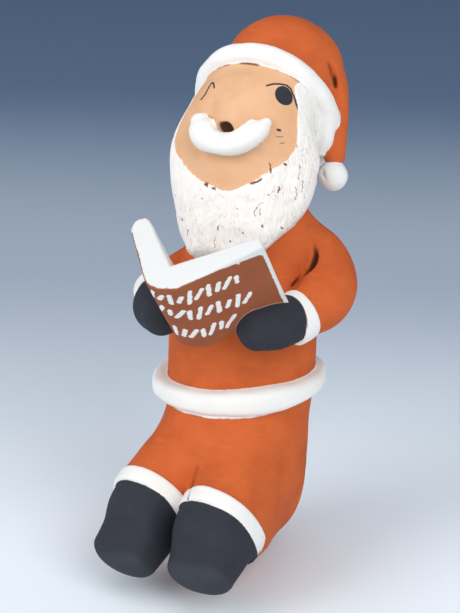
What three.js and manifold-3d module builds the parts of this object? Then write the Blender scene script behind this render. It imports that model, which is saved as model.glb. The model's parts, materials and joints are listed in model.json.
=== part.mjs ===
// A seated storyteller figure in fired clay, with a full beard and a stocking cap, reading an open book.
// It sits on the ground, faces -Y and leans its head back. Its left side is +X.
import * as THREE from 'three';
import { ParametricGeometry } from 'three/addons/geometries/ParametricGeometry.js';
import { mergeVertices } from 'three/addons/utils/BufferGeometryUtils.js';
import Module from 'manifold-3d';

// Driving dimensions, in millimetres and degrees.
const HEIGHT = 165;
const TORSO_WIDTH = 48;
const TORSO_DEPTH = 39;
const BELT_HEIGHT = 8;
const BELT_THICKNESS = 6.8;
const ARM_THICKNESS = 18;
const MITTEN_THICKNESS = 16.2;
const LEG_WIDTH = 27.6;
const BOOT_LENGTH = 21;
const LEG_TURN = -9;
const BEARD_WIDTH = 48.4;
const HAT_WIDTH = 41.4;
const HAT_TILT = 30;
const BRIM_THICKNESS = 7;
const TAIL_THICKNESS = 7;
const POMPOM_SIZE = 9.3;
const MOUSTACHE_THICKNESS = 6.8;
const BOOK_HEIGHT = 33;
const BOOK_LEAN = 39.8;
const LEFT_PAGE_WIDTH = 30;
const RIGHT_PAGE_WIDTH = 24.5;
const PAGE_THICKNESS = 3.9;
const MOUTH_HOLE = 5;

// All sizes and places are drawn for a figure of this height, and grow with HEIGHT.
const DRAWN_HEIGHT = 165;

// How finely curved forms are divided.
const AROUND = 16;
const CAP_RINGS = 3;

const CLAY_RED = 0xbe552d;

const wasm = await Module();
wasm.setup();

// A closed three.js geometry becomes a solid that can be joined and cut.
function solid(geometry) {
  const bare = geometry.clone();
  bare.deleteAttribute('normal');
  bare.deleteAttribute('uv');
  const merged = mergeVertices(bare);
  const corners = merged.index.array;
  const triangles = [];
  for (let i = 0; i < corners.length; i += 3) {
    const [a, b, c] = corners.slice(i, i + 3);
    if (a !== b && b !== c && c !== a) triangles.push(a, b, c);
  }
  return new wasm.Manifold(new wasm.Mesh({
    numProp: 3,
    vertProperties: new Float32Array(merged.attributes.position.array),
    triVerts: new Uint32Array(triangles),
  }));
}

const join = (solids) => solids.reduce((whole, next) => whole.add(next));

// A power above 2 squares a round section off.
function roundedPower(value, power) {
  return Math.sign(value) * Math.abs(value) ** (2 / power);
}

// A clay roll: rows of [x, y, z, half width, half height] along a smooth line, closed by rounded ends.
// across is the direction of the width, and bulge tells how far each end swells out.
function roll(rows, { across, bulge = [1, 1], power = 2, around = AROUND, rings = 3 }) {
  const smooth = (points) => new THREE.CatmullRomCurve3(points, false, 'catmullrom', 0.5);
  const line = smooth(rows.map(([x, y, z]) => new THREE.Vector3(x, y, z)));
  const sizes = smooth(rows.map(([, , , wide, high]) => new THREE.Vector3(wide, high, 0)));
  const bodyRings = rings * (rows.length - 1);
  const stacks = bodyRings + 2 * CAP_RINGS;
  const sideways = new THREE.Vector3(...across);
  const pointAt = (u, v, target) => {
    const ring = v * stacks;
    const t = THREE.MathUtils.clamp((ring - CAP_RINGS) / bodyRings, 0, 1);
    const before = Math.max(CAP_RINGS - ring, 0) / CAP_RINGS;
    const after = Math.max(ring - CAP_RINGS - bodyRings, 0) / CAP_RINGS;
    const capAngle = (after + before) * Math.PI / 2;
    const { x: wide, y: high } = sizes.getPoint(t);
    const along = line.getTangent(t);
    const width = sideways.clone().addScaledVector(along, -sideways.dot(along)).normalize();
    const height = new THREE.Vector3().crossVectors(along, width);
    const angle = 2 * Math.PI * u;
    const shrink = Math.max(Math.cos(capAngle), 0);
    const reach = Math.min(wide, high) * Math.sin(capAngle) * (after > 0 ? bulge[1] : -bulge[0]);
    target.copy(line.getPoint(t));
    target.addScaledVector(along, reach);
    target.addScaledVector(width, shrink * wide * roundedPower(Math.cos(angle), power));
    target.addScaledVector(height, shrink * high * roundedPower(Math.sin(angle), power));
    if (shrink < 1e-6) target.copy(line.getPoint(t)).addScaledVector(along, reach);
  };
  return solid(new ParametricGeometry(pointAt, around, stacks));
}

// A flat face pressed on a form, through a place, and the way the face looks.
function pressed(shape, place, facing) {
  const size = 60;
  const turn = new THREE.Quaternion()
    .setFromUnitVectors(new THREE.Vector3(0, 0, 1), new THREE.Vector3(...facing).normalize());
  const block = new THREE.BoxGeometry(size, size, size)
    .translate(0, 0, size / 2)
    .applyQuaternion(turn)
    .translate(...place);
  return shape.subtract(solid(block));
}

// A clay roll closed into a ring. place(angle) gives its middle line.
// outward and upward are the section's axes.
function ringRoll({ place, outward, upward, thick, high, around, sides }) {
  const pointAt = (u, v, target) => {
    const turn = 2 * Math.PI * v;
    const angle = -2 * Math.PI * u;
    target.copy(place(turn));
    target.addScaledVector(outward(turn), thick * Math.cos(angle));
    target.addScaledVector(upward, high(turn) * Math.sin(angle));
  };
  return solid(new ParametricGeometry(pointAt, sides, around));
}

// Widths and depths below are shares of the size named for each form.
function sized(rows, wide, high = wide) {
  return rows.map(([x, y, z, shareOfWide, shareOfHigh = shareOfWide]) =>
    [x, y, z, shareOfWide * wide, shareOfHigh * high]);
}

// The trunk sits on a rounded seat and narrows to the shoulders.
function torso() {
  const rows = sized([
    [-1, 2, 26, 0.96, 1.22],
    [-0.5, 2, 40, 0.96, 1.1],
    [-0.5, 4, 54, 1.015, 1],
    [-0.5, 6, 70, 1.02, 0.92],
    [0, 9, 86, 0.94, 0.87],
    [0, 12, 98, 0.9, 0.77],
    [0, 14, 106, 0.75, 0.67],
    [0, 15, 113, 0.58, 0.56],
  ], TORSO_WIDTH / 2, TORSO_DEPTH / 2);
  return roll(rows, { across: [1, 0, 0], bulge: [1.28, 0.6], around: 22, rings: 2 });
}

// The belt is a flattened roll pressed round the waist.
// It lies lower on the figure's right and is narrower at the sides.
const BELT_TILT = 2.8;
const BELT_TURN = THREE.MathUtils.degToRad(24);
const BELT_NARROWING = 0.11;
const BELT_WAVE = 0.04;

function beltHigh(turn) {
  const narrowing = BELT_NARROWING * Math.cos(2 * (turn - BELT_TURN));
  const wave = BELT_WAVE * Math.sin(5 * turn);
  return BELT_HEIGHT / 2 * (1 - BELT_NARROWING - narrowing + wave);
}

function belt() {
  const middle = new THREE.Vector3(-1.1, 3.5, 52.9);
  const reachX = TORSO_WIDTH / 2 + 1.7;
  const reachY = TORSO_DEPTH / 2 + 0.9;
  return ringRoll({
    place: (turn) => new THREE.Vector3(
      middle.x + reachX * Math.cos(turn),
      middle.y + reachY * Math.sin(turn),
      middle.z + BELT_TILT * Math.cos(turn - BELT_TURN),
    ),
    outward: (turn) => new THREE.Vector3(Math.cos(turn), Math.sin(turn), 0),
    upward: new THREE.Vector3(0, 0, 1),
    thick: BELT_THICKNESS / 2,
    high: beltHigh,
    around: 32,
    sides: 8,
  });
}

// Both legs point a few degrees to the figure's right.
function turned(rows) {
  const angle = THREE.MathUtils.degToRad(LEG_TURN);
  const axis = new THREE.Vector3(0, 0, 1);
  return rows.map(([x, y, z, ...rest]) =>
    [...new THREE.Vector3(x, y, z).applyAxisAngle(axis, angle).toArray(), ...rest]);
}

const legAcross = new THREE.Vector3(1, 0, 0)
  .applyAxisAngle(new THREE.Vector3(0, 0, 1), THREE.MathUtils.degToRad(LEG_TURN))
  .toArray();

function leg(side) {
  const rows = sized([
    [10 * side, -2, 26, 1.02, 1.6],
    [11.2 * side, -14, 23.3, 1, 1.35],
    [13 * side, -29, 17, 0.985, 1.16],
  ], LEG_WIDTH / 2);
  return roll(turned(rows), { across: legAcross, bulge: [0.8, 0.2] });
}

// A hip fills out the side of each leg beside the seat.
function hip(side) {
  const rows = sized([
    [12 * side, 0, 15, 0.58, 0.9],
    [12.6 * side, -8, 14, 0.64, 0.88],
    [13.8 * side, -18, 13, 0.69, 0.87],
  ], LEG_WIDTH / 2);
  return roll(turned(rows), { across: legAcross, bulge: [0.6, 0.8], around: 10, rings: 1 });
}

// The lap fills the hollow between belly and thighs.
function lap() {
  const rows = [
    [0, 2, 40, 20, 16],
    [0, -10, 32, 17, 13.5],
    [0, -20, 26.5, 12, 11.5],
  ];
  return roll(turned(rows), { across: legAcross, bulge: [0.5, 0.5] });
}

function legCuff(side) {
  const rows = sized([
    [12.9 * side, -27.2, 18.4, 1.035, 1.23],
    [13 * side, -30.9, 16.4, 1.015, 1.18],
  ], LEG_WIDTH / 2);
  return roll(turned(rows), { across: legAcross, bulge: [0.1, 0.1], around: 20, rings: 1 });
}

// A boot goes down from the cuff in a thick shaft, draws in at the ankle and ends in a short blunt foot.
// The right boot is slimmer at the shaft and a little longer.
function boot(side) {
  const heel = -29;
  const left = [
    [13, 0, 16.8, 0.955, 1.13],
    [13.2, 0.22, 14.6, 0.91, 1.01],
    [13.5, 0.42, 10.3, 0.84, 0.76],
    [13.8, 0.6, 7.1, 0.8, 0.57],
  ];
  const right = [
    [12.4, 0, 16.8, 0.92, 1.13],
    [12.6, 0.22, 14.6, 0.88, 1.01],
    [13.1, 0.44, 10, 0.84, 0.76],
    [13.6, 0.68, 6.3, 0.83, 0.58],
  ];
  const rows = sized(
    (side > 0 ? left : right).map(([x, share, ...rest]) => [x * side, heel - share * BOOT_LENGTH, ...rest]),
    LEG_WIDTH / 2,
  );
  const shape = roll(turned(rows), { across: legAcross, bulge: [0.2, 0.75], power: 2.3 });
  if (side > 0) return pressed(shape, [6, -48.5, 10], [-0.15, -0.97, 0.18]);
  const front = pressed(shape, [-22, -46, 8], [-0.3, -0.92, 0.2]);
  return pressed(front, [-10.5, -44, 8], [0.9, -0.42, 0.1]);
}

// An arm hangs from the shoulder to a low elbow and comes forward.
// The right shoulder is dropped and tucked in.
function arm(side) {
  const left = [
    [12, 15, 97, 1],
    [21, 14, 94, 1],
    [27, 9.5, 88, 1.01],
    [28, 1.5, 84, 0.98],
    [23.8, -7, 80.9, 0.8],
  ];
  const right = [
    [12, 15, 90, 1],
    [18.5, 13.5, 85, 0.98],
    [23, 9.5, 82, 0.95],
    [24.8, 1.5, 80.8, 0.91],
    [23.4, -7, 81, 0.8],
  ];
  const drawn = side > 0 ? left : right;
  const rows = sized(drawn.map(([x, ...rest]) => [x * side, ...rest]), ARM_THICKNESS / 2);
  return roll(rows, { across: [0, 0, 1], around: 14, rings: 2 });
}

function sleeveCuff(side) {
  const left = [
    [24.1, -5.5, 81.2, 0.91, 0.94],
    [21.7, -9.6, 80, 0.9, 0.93],
  ];
  const right = [
    [24.6, -5.2, 82.2, 0.93, 0.95],
    [22.3, -9, 81.2, 0.92, 0.94],
  ];
  const drawn = side > 0 ? left : right;
  const rows = sized(drawn.map(([x, ...rest]) => [x * side, ...rest]), ARM_THICKNESS / 2);
  return roll(rows, { across: [0, 0, 1], bulge: [0.2, 0.2], around: 16, rings: 1 });
}

// A mitten with no fingers, wrapped round the book's lower edge.
function mitten(side) {
  const rows = sized([
    [22, -10.8, 81, 0.94, 0.93],
    [19.2, -17, 81.3, 1.01, 0.99],
    [15.7, -21.6, 81, 0.89, 0.81],
  ].map(([x, ...rest]) => [x * side, ...rest]), MITTEN_THICKNESS / 2);
  return roll(rows, { across: [0, 0, 1], bulge: [0.3, 0.9], rings: 2 });
}

// Head and beard in one sweep, from the crown under the hat down to the beard's hem.
// The hem rises on the left.
function headAndBeard() {
  const wide = BEARD_WIDTH / 2;
  const rows = sized([
    [0, 23, 151, 0.52, 7.5],
    [0, 18.5, 146, 0.7, 12.2],
    [0.2, 14.5, 141, 0.77, 14.5],
    [0, 10.8, 136, 0.86, 14.3],
    [-0.2, 8, 131, 0.95, 13.2],
    [-0.4, 6, 125, 1, 12],
    [-0.5, 4, 117, 0.96, 11.4],
    [-0.5, 1.8, 109, 0.87, 11.2],
    [-0.6, -1.4, 102.5, 0.75, 10.3],
    [-0.5, -5, 97.5, 0.57, 7.6],
  ], wide, 1);
  const shape = roll(rows, { across: [1, 0, 0], bulge: [0.5, 0.5], around: 26, rings: 2 });
  return pressed(shape, [13.1, -6.4, 102.4], [0.72, 0, -0.69]);
}

// The hair at the nape fills the hollow between beard, cap and shoulders.
function nape() {
  const rows = sized([
    [0, 22, 115, 0.6, 8],
    [0, 21.5, 122, 0.75, 8.5],
    [0, 20.5, 130, 0.8, 8.5],
    [0, 20, 138, 0.8, 8.5],
  ], BEARD_WIDTH / 2, 1);
  return roll(rows, { across: [1, 0, 0], bulge: [0.8, 0.6], around: 12, rings: 1 });
}

// The nose starts as a wide ridge under the hat's brim.
function nose() {
  const rows = [
    [0, 14, 149, 6, 5],
    [0, 6, 144.5, 6, 5],
    [0, 0, 140.5, 5.5, 4.6],
    [0, -2.5, 138, 5, 4.6],
  ];
  return roll(rows, { across: [1, 0, 0], bulge: [0.5, 1], around: 12, rings: 2 });
}

function mouthHole() {
  return solid(new THREE.SphereGeometry(MOUTH_HOLE / 2, 12, 8).translate(-1.3, -6.8, 136.6));
}

// The moustache is one thick bent roll with tapering ends.
function moustache() {
  const rows = sized([
    [-11.2, -2.6, 137.2, 0.9],
    [-10, -4, 135.6, 1.25],
    [-7.4, -5.9, 133.7, 1.25],
    [-3.4, -6.8, 132.7, 1.02],
    [1.8, -6.7, 133.1, 1.04],
    [6, -5.5, 135.1, 1.04],
    [9, -3.9, 137.4, 0.86],
    [10.6, -2.3, 139.3, 0.42],
  ], MOUSTACHE_THICKNESS / 2);
  return roll(rows, { across: [0, 1, 0], around: 10, rings: 2 });
}

const hatTilt = THREE.MathUtils.degToRad(HAT_TILT);
const brimMiddle = new THREE.Vector3(0, 23.5, 136.5);
const brimUp = new THREE.Vector3(0, -Math.sin(hatTilt), Math.cos(hatTilt));
const brimAcross = new THREE.Vector3(1, 0, 0);

// The cap's brim is a roll round the head from the forehead, past the ears, to the nape.
function brim() {
  const reachAcross = HAT_WIDTH / 2;
  const reachUp = reachAcross + 2.55;
  return ringRoll({
    place: (turn) => brimMiddle.clone()
      .addScaledVector(brimAcross, reachAcross * Math.cos(turn))
      .addScaledVector(brimUp, reachUp * Math.sin(turn)),
    outward: (turn) => brimAcross.clone()
      .multiplyScalar(Math.cos(turn))
      .addScaledVector(brimUp, Math.sin(turn)),
    upward: new THREE.Vector3().crossVectors(brimAcross, brimUp),
    thick: BRIM_THICKNESS / 2,
    high: () => BRIM_THICKNESS / 2,
    around: 34,
    sides: 10,
  });
}

// On the figure's left the brim sags in front of the cap's tail.
function brimEnd() {
  const rows = [
    [20.6, 21.5, 136, 3.2, 3.2],
    [20.4, 20.5, 130.5, 2.9, 2.9],
    [19.4, 20.5, 126.5, 2.3, 2.3],
  ];
  return roll(rows, { across: [0, 1, 0], around: 10, rings: 1 });
}

// The crown of the cap swells back and up from the brim.
function crown() {
  const rows = sized([
    [0, 23, 136.5, 0.957, 1.09],
    [0.4, 28, 140.5, 0.966, 1.04],
    [1.4, 32.5, 146, 0.932, 0.932],
  ], HAT_WIDTH / 2);
  return roll(rows, { across: [1, 0, 0], bulge: [0.2, 1], around: 22, rings: 2 });
}

// The cap's tail flops over to the figure's left and hangs behind the brim to the pompom.
function tail() {
  const rows = sized([
    [5, 37.5, 152.3, 2.3],
    [12.3, 35.5, 151.2, 1.72],
    [18.6, 32, 146.2, 1.3],
    [21.4, 29, 138.6, 1.08],
    [22.6, 26, 131, 0.96],
    [23.4, 22.5, 124.5, 0.96],
  ], TAIL_THICKNESS / 2);
  return roll(rows, { across: [0, 1, 0], around: 12, rings: 2 });
}

function pompom() {
  return solid(new THREE.SphereGeometry(POMPOM_SIZE / 2, 12, 8).translate(24, 20, 118.8));
}

// The book opens in a V toward the figure.
// Its outline is drawn across the rounded spine and runs up along it.
function book() {
  const right = [
    [-12.3, 20.4],
    [-15.2, 22.8],
    [-18.2, 21.4],
    [-18.7, 18],
  ].map(([x, y]) => new THREE.Vector2(x, y).multiplyScalar(RIGHT_PAGE_WIDTH / 24.5));
  const leftOuter = new THREE.Vector2(23.8, 18.4).setLength(LEFT_PAGE_WIDTH);
  const thickness = new THREE.Vector2(-leftOuter.y, leftOuter.x).setLength(PAGE_THICKNESS);
  const leftInner = leftOuter.clone().add(thickness);
  const valley = new THREE.Vector2(-1.8, 7.7);
  const spine = [[-8.4, 2.2], [-6, -2.2], [3, 0.4]].map(([x, y]) => new THREE.Vector2(x, y));
  const outline = new THREE.Shape();
  outline.moveTo(spine[2].x, spine[2].y);
  outline.lineTo(leftOuter.x, leftOuter.y);
  outline.lineTo(leftInner.x, leftInner.y);
  outline.lineTo(valley.x, valley.y);
  outline.lineTo(right[0].x, right[0].y);
  outline.splineThru(right.slice(1));
  outline.lineTo(spine[0].x, spine[0].y);
  outline.quadraticCurveTo(spine[1].x, spine[1].y, spine[2].x, spine[2].y);
  const round = 0.8;
  const pages = new THREE.ExtrudeGeometry(outline, {
    depth: BOOK_HEIGHT - 2 * round,
    bevelThickness: round,
    bevelSize: round,
    bevelOffset: -round,
    bevelSegments: 1,
    curveSegments: 5,
  });
  const lean = THREE.MathUtils.degToRad(BOOK_LEAN);
  const foot = new THREE.Vector3(0, -28.5, 74.9);
  return solid(pages.translate(0, 0, round).rotateX(lean).translate(foot.x, foot.y, foot.z));
}

// Everything below the ground is cut off, which leaves a flat seat and flat soles.
function ground() {
  const size = 400;
  return solid(new THREE.BoxGeometry(size, size, size).translate(0, 0, -size / 2));
}

function figure() {
  const sides = [1, -1];
  const clay = join([
    torso(),
    lap(),
    ...sides.map(leg),
    ...sides.map(hip),
    ...sides.map(legCuff),
    ...sides.map(boot),
    belt(),
    ...sides.map(arm),
    ...sides.map(sleeveCuff),
    headAndBeard(),
    nape(),
    nose(),
    moustache(),
    crown(),
    brim(),
    brimEnd(),
    tail(),
    pompom(),
    book(),
    ...sides.map(mitten),
  ]);
  return clay.subtract(mouthHole()).subtract(ground());
}

function meshOf(shape, name, color) {
  const { vertProperties, triVerts } = shape.getMesh();
  const geometry = new THREE.BufferGeometry();
  geometry.setAttribute('position', new THREE.BufferAttribute(vertProperties, 3));
  geometry.setIndex(new THREE.BufferAttribute(triVerts, 1));
  const size = HEIGHT / DRAWN_HEIGHT;
  geometry.scale(size, size, size);
  const material = new THREE.MeshStandardMaterial({ color, roughness: 0.85, metalness: 0 });
  const mesh = new THREE.Mesh(geometry, material);
  mesh.name = name;
  return mesh;
}

const group = new THREE.Group();
group.add(meshOf(figure(), 'storyteller_figure', CLAY_RED));

export default group;
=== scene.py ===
"""A seated storyteller figure in fired and slip-painted clay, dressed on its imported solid.

All lengths in the modelling code are millimetres in the row frame: the figure faces -Y, its left
side is +X and +Z is up. The finished mesh is turned to metres.
"""

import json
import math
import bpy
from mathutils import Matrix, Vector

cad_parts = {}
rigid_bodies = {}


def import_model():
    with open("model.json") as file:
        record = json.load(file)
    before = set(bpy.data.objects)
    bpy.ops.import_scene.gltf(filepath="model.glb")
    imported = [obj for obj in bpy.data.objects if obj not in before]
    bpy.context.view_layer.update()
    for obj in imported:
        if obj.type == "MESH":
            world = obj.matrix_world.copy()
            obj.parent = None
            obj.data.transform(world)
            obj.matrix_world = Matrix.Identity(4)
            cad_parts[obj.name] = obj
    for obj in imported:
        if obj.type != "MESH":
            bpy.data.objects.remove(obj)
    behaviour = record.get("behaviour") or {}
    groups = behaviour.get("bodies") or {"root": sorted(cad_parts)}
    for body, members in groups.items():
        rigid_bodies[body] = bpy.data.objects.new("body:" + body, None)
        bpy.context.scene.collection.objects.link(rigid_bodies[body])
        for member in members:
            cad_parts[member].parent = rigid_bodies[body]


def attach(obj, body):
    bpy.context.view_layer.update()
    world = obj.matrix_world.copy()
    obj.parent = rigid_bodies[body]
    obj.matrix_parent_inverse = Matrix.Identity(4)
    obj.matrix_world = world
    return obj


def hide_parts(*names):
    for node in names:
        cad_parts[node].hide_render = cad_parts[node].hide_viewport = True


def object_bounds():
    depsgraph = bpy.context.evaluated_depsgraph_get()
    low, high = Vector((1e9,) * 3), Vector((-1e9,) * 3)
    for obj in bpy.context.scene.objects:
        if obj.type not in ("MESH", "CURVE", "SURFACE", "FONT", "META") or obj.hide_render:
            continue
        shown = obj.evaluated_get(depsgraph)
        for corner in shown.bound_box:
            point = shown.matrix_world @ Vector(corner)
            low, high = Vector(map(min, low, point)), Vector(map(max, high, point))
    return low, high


bl_info = {
    "name": "Clay storyteller figure",
    "version": (1, 0, 0),
    "blender": (4, 5, 0),
    "location": "3D View > Sidebar > Clay figure",
    "description": "Models and paints a seated clay storyteller figure with a book",
    "category": "Object",
}

import bpy
import numpy as np
from mathutils import Matrix, Vector

for leftover in list(bpy.data.objects):
    bpy.data.objects.remove(leftover)
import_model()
CAD_BOX = [list(corner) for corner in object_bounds()]

NODE = "storyteller_figure"
PIECE = "storyteller_clay"
METRES = 0.001
# Further than any two places on the figure are apart.
FAR = 1e3
# How many places the field is worked out at in one go.
BATCH = 100000
# Half the way across a grid cube from corner to corner, in sides of the cube.
HALF_DIAGONAL = 0.87
MOST_TRIANGLES = 196000
PITCH = 0.55
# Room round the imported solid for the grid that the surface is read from.
GRID_ROOM = 3
# No relief at the ground: it grows from there up to this height.
FLAT_FOOT = 1.5

# The photograph's height in pixels, and the camera that took it, as worked out from the figure's
# outlines: its distance, target and the size of a pixel there in millimetres.
IMAGE_HEIGHT = 613
CAMERA_DISTANCE = 480
CAMERA_TARGET = (2, -10, 82)
PIXEL_SIZE = 0.31
CAMERA_TURN = math.radians(24)
CAMERA_RISE = math.radians(20)
SENSOR_WIDTH = 36


# Forms in clay, as distance fields

def smooth_rows(rows, per=6, closed=False):
    """Rows of numbers along a smooth line through them."""
    rows = np.asarray(rows, float)
    if closed:
        rows = np.vstack([rows[-1], rows, rows[0], rows[1]])
    else:
        rows = np.vstack([2 * rows[0] - rows[1], rows, 2 * rows[-1] - rows[-2]])
    steps = np.arange(per)[:, None] / per
    out = []
    for a, b, c, d in zip(rows, rows[1:], rows[2:], rows[3:]):
        out.append(
            0.5 * (2 * b + (c - a) * steps + (2 * a - 5 * b + 4 * c - d) * steps**2
                   + (3 * b - a - 3 * c + d) * steps**3)
        )
    out.append(rows[-2][None])
    return np.vstack(out)


def join(a, b, soft):
    """Two distance fields as one form, with a fillet of about this size where they meet."""
    share = np.clip(0.5 + 0.5 * (b - a) / soft, 0, 1)
    return b * (1 - share) + a * share - soft * share * (1 - share)


def cut(a, b, soft):
    """Form a without form b."""
    return -join(-a, b, soft)


def ramp(low, high, value):
    """0 below low, 1 above high, and smooth between them."""
    t = np.clip((value - low) / (high - low), 0, 1)
    return t * t * (3 - 2 * t)


class Roll:
    """A clay roll: rows of x, y, z, half width, half height along a smooth line, closed by rounded ends.

    across is the direction of the width, and ends tell how far each end swells out. The section is an
    ellipse at power 2 and grows squarer above it."""

    # How much of the way to a better place along the line each try goes, and the most it may stray.
    PACE_SHARE = 0.7
    STRAY = 1.5

    def __init__(self, rows, across=(1, 0, 0), ends=(1, 1), power=2.0, per=6, closed=False):
        line = smooth_rows(rows, per, closed)
        self.centre, self.wide, self.high = line[:, :3], line[:, 3], line[:, 4]
        along = np.gradient(self.centre, axis=0)
        if closed:
            along[0] = along[-1] = self.centre[1] - self.centre[-2]
        along /= np.linalg.norm(along, axis=1)[:, None]
        width = np.array(across, float) - along * (along @ np.array(across, float))[:, None]
        width /= np.linalg.norm(width, axis=1)[:, None]
        self.axes = np.stack([width, np.cross(along, width), along], 1)
        self.pace = np.linalg.norm(np.diff(self.centre, axis=0), axis=1)
        self.power, self.ends = power, ends
        reach = max(self.wide.max(), self.high.max()) * max(1, *ends)
        self.low, self.top = self.centre.min(0) - reach, self.centre.max(0) + reach

    def __call__(self, points):
        nearest = np.full(len(points), FAR**2)
        index = np.zeros(len(points), int)
        share = np.zeros(len(points))
        for i in range(len(self.centre) - 1):
            start, step = self.centre[i], self.centre[i + 1] - self.centre[i]
            away = points - start
            t = np.clip(away @ step / (step @ step), 0, 1)
            away -= t[:, None] * step
            gap = np.einsum("ij,ij->i", away, away)
            closer = gap < nearest
            nearest[closer], index[closer], share[closer] = gap[closer], i, t[closer]

        def at(values):
            part = share.reshape(-1, *[1] * (values.ndim - 1))
            return values[index] * (1 - part) + values[index + 1] * part

        nearest_place = index + share
        for _ in range(3):
            ahead = np.einsum("ij,ij->i", at(self.axes[:, 2]), points - at(self.centre))
            place = index + share + self.PACE_SHARE * ahead / self.pace[index]
            place = np.clip(place, nearest_place - self.STRAY, nearest_place + self.STRAY)
            place = np.clip(place, 0, len(self.pace))
            index = np.minimum(place.astype(int), len(self.pace) - 1)
            share = place - index
        local = np.einsum("ijk,ik->ij", at(self.axes), points - at(self.centre))
        wide, high = at(self.wide), at(self.high)
        small = np.minimum(wide, high)
        first = place <= 0
        last = place >= len(self.pace)
        swell = np.where(first, self.ends[0], self.ends[1]) * small
        local[:, 2] = np.where(first | last, local[:, 2], 0)
        parts = np.abs(local / np.stack([wide, high, swell], 1)) ** self.power
        size = np.maximum(parts.sum(1) ** (1 / self.power), 1e-3)
        length = np.linalg.norm(local, axis=1)
        return np.where(size < 0.5, (size - 1) * small, length * (1 - 1 / size))


class Pressed:
    """A form with a flat face pressed on it: through a place, and the way the face looks."""

    def __init__(self, form, place, facing, soft):
        self.form, self.place, self.soft = form, np.array(place, float), soft
        self.facing = np.array(facing, float) / np.linalg.norm(facing)
        self.low, self.top = form.low, form.top

    def __call__(self, points):
        return cut(self.form(points), (self.place - points) @ self.facing, self.soft)


class Ball:
    """A round ball."""

    def __init__(self, centre, radius):
        self.centre, self.radius = np.array(centre, float), radius
        self.low, self.top = self.centre - radius, self.centre + radius

    def __call__(self, points):
        return np.linalg.norm(points - self.centre, axis=1) - self.radius


class Slab:
    """An outline drawn across an axis and run along it, with rounded edges."""

    def __init__(self, outline, origin, axes, length, rounding):
        self.outline, self.origin, self.axes = np.array(outline, float), np.array(origin, float), axes
        self.length, self.rounding = length, rounding
        ends = [self.origin + x * axes[0] + y * axes[1] + z * axes[2]
                for x, y in self.outline for z in (0, length)]
        self.low, self.top = np.min(ends, 0) - rounding, np.max(ends, 0) + rounding

    def local(self, points):
        return (points - self.origin) @ self.axes.T

    def across(self, flat):
        """Signed distance to the outline, negative inside."""
        gap = np.full(len(flat), FAR**2)
        inside = np.zeros(len(flat), bool)
        corners = self.outline
        for a, b in zip(corners, np.roll(corners, -1, 0)):
            step = b - a
            away = flat - a
            t = np.clip(away @ step / (step @ step), 0, 1)
            off = away - t[:, None] * step
            gap = np.minimum(gap, np.einsum("ij,ij->i", off, off))
            spans = (a[1] > flat[:, 1]) != (b[1] > flat[:, 1])
            rise = step[1] if abs(step[1]) > 1e-9 else 1e-9
            inside ^= spans & (flat[:, 0] < a[0] + (flat[:, 1] - a[1]) * step[0] / rise)
        return np.where(inside, -1, 1) * np.sqrt(gap)

    def __call__(self, points):
        local = self.local(points)
        side = self.across(local[:, :2]) + self.rounding
        end = np.maximum(-local[:, 2], local[:, 2] - self.length) + self.rounding
        outer = np.hypot(np.maximum(side, 0), np.maximum(end, 0))
        return outer + np.minimum(np.maximum(side, end), 0) - self.rounding


# The figure's forms

def scaled(rows, wide, high=None):
    """Rows whose half width and half height are shares of the sizes named for a form."""
    high = wide if high is None else high
    return [(x, y, z, share[0] * wide, share[-1] * high) for x, y, z, *share in rows]


def turned(rows, angle):
    """Rows turned about the upright axis through the seat."""
    c, s = math.cos(angle), math.sin(angle)
    return [(c * x - s * y, s * x + c * y, *rest) for x, y, *rest in rows]


def mirrored(rows, side):
    """Rows drawn for the figure's left, as they are for side 1 and mirrored for side -1."""
    return [(x * side, *rest) for x, *rest in rows]


def ring_rows(middle, axes, reach, section, count=32):
    """Rows round an ellipse. section(angle) gives half width and half height."""
    turns = np.arange(count) * 2 * math.pi / count
    return [(*(np.array(middle) + reach[0] * math.cos(t) * axes[0] + reach[1] * math.sin(t) * axes[1]),
             *section(t)) for t in turns]


# Rows of the rolls: a place, then half width and half height, as shares of the size named for the
# form. Where a form has no size of its own, they are millimetres.
TORSO_ROWS = (
    (-1, 2, 26, 0.96, 1.22), (-0.5, 2, 40, 0.96, 1.1), (-0.5, 4, 54, 1.015, 1),
    (-0.5, 6, 70, 1.02, 0.92), (0, 9, 86, 0.94, 0.87), (0, 12, 98, 0.9, 0.77),
    (0, 14, 106, 0.75, 0.67), (0, 15, 113, 0.58, 0.56),
)
LAP_ROWS = ((0, 2, 40, 20, 16), (0, -10, 32, 17, 13.5), (0, -20, 26.5, 12, 11.5))
LEG_ROWS = ((10, -2, 26, 1.02, 1.6), (11.2, -14, 23.3, 1, 1.35), (13, -29, 17, 0.985, 1.16))
HIP_ROWS = ((12, 0, 15, 0.58, 0.9), (12.6, -8, 14, 0.64, 0.88), (13.8, -18, 13, 0.69, 0.87))
LEG_CUFF_ROWS = ((12.9, -27.2, 18.4, 1.02, 1.2), (13, -30.9, 16.4, 1, 1.16))
ARM_ROWS = {
    "left": ((12, 15, 97, 1), (21, 14, 94, 1), (27, 9.5, 88, 1.01), (28, 1.5, 84, 0.98),
             (23.8, -7, 80.9, 0.8)),
    "right": ((12, 15, 90, 1), (18.5, 13.5, 85, 0.98), (23, 9.5, 82, 0.95), (24.8, 1.5, 80.8, 0.91),
              (23.4, -7, 81, 0.8)),
}
SLEEVE_CUFF_ROWS = {
    "left": ((24.1, -5.5, 81.2, 0.91, 0.94), (21.7, -9.6, 80, 0.9, 0.93)),
    "right": ((24.6, -5.2, 82.2, 0.93, 0.95), (22.3, -9, 81.2, 0.92, 0.94)),
}
MITTEN_ROWS = ((22, -10.8, 81, 0.94, 0.93), (19.2, -17, 81.3, 1.01, 0.99), (15.7, -21.6, 81, 0.89, 0.81))
NOSE_ROWS = ((0, 14, 149, 6, 5), (0, 6, 144.5, 6, 5), (0, 0, 140.5, 5.5, 4.6), (0, -2.5, 138, 5, 4.6))
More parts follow.
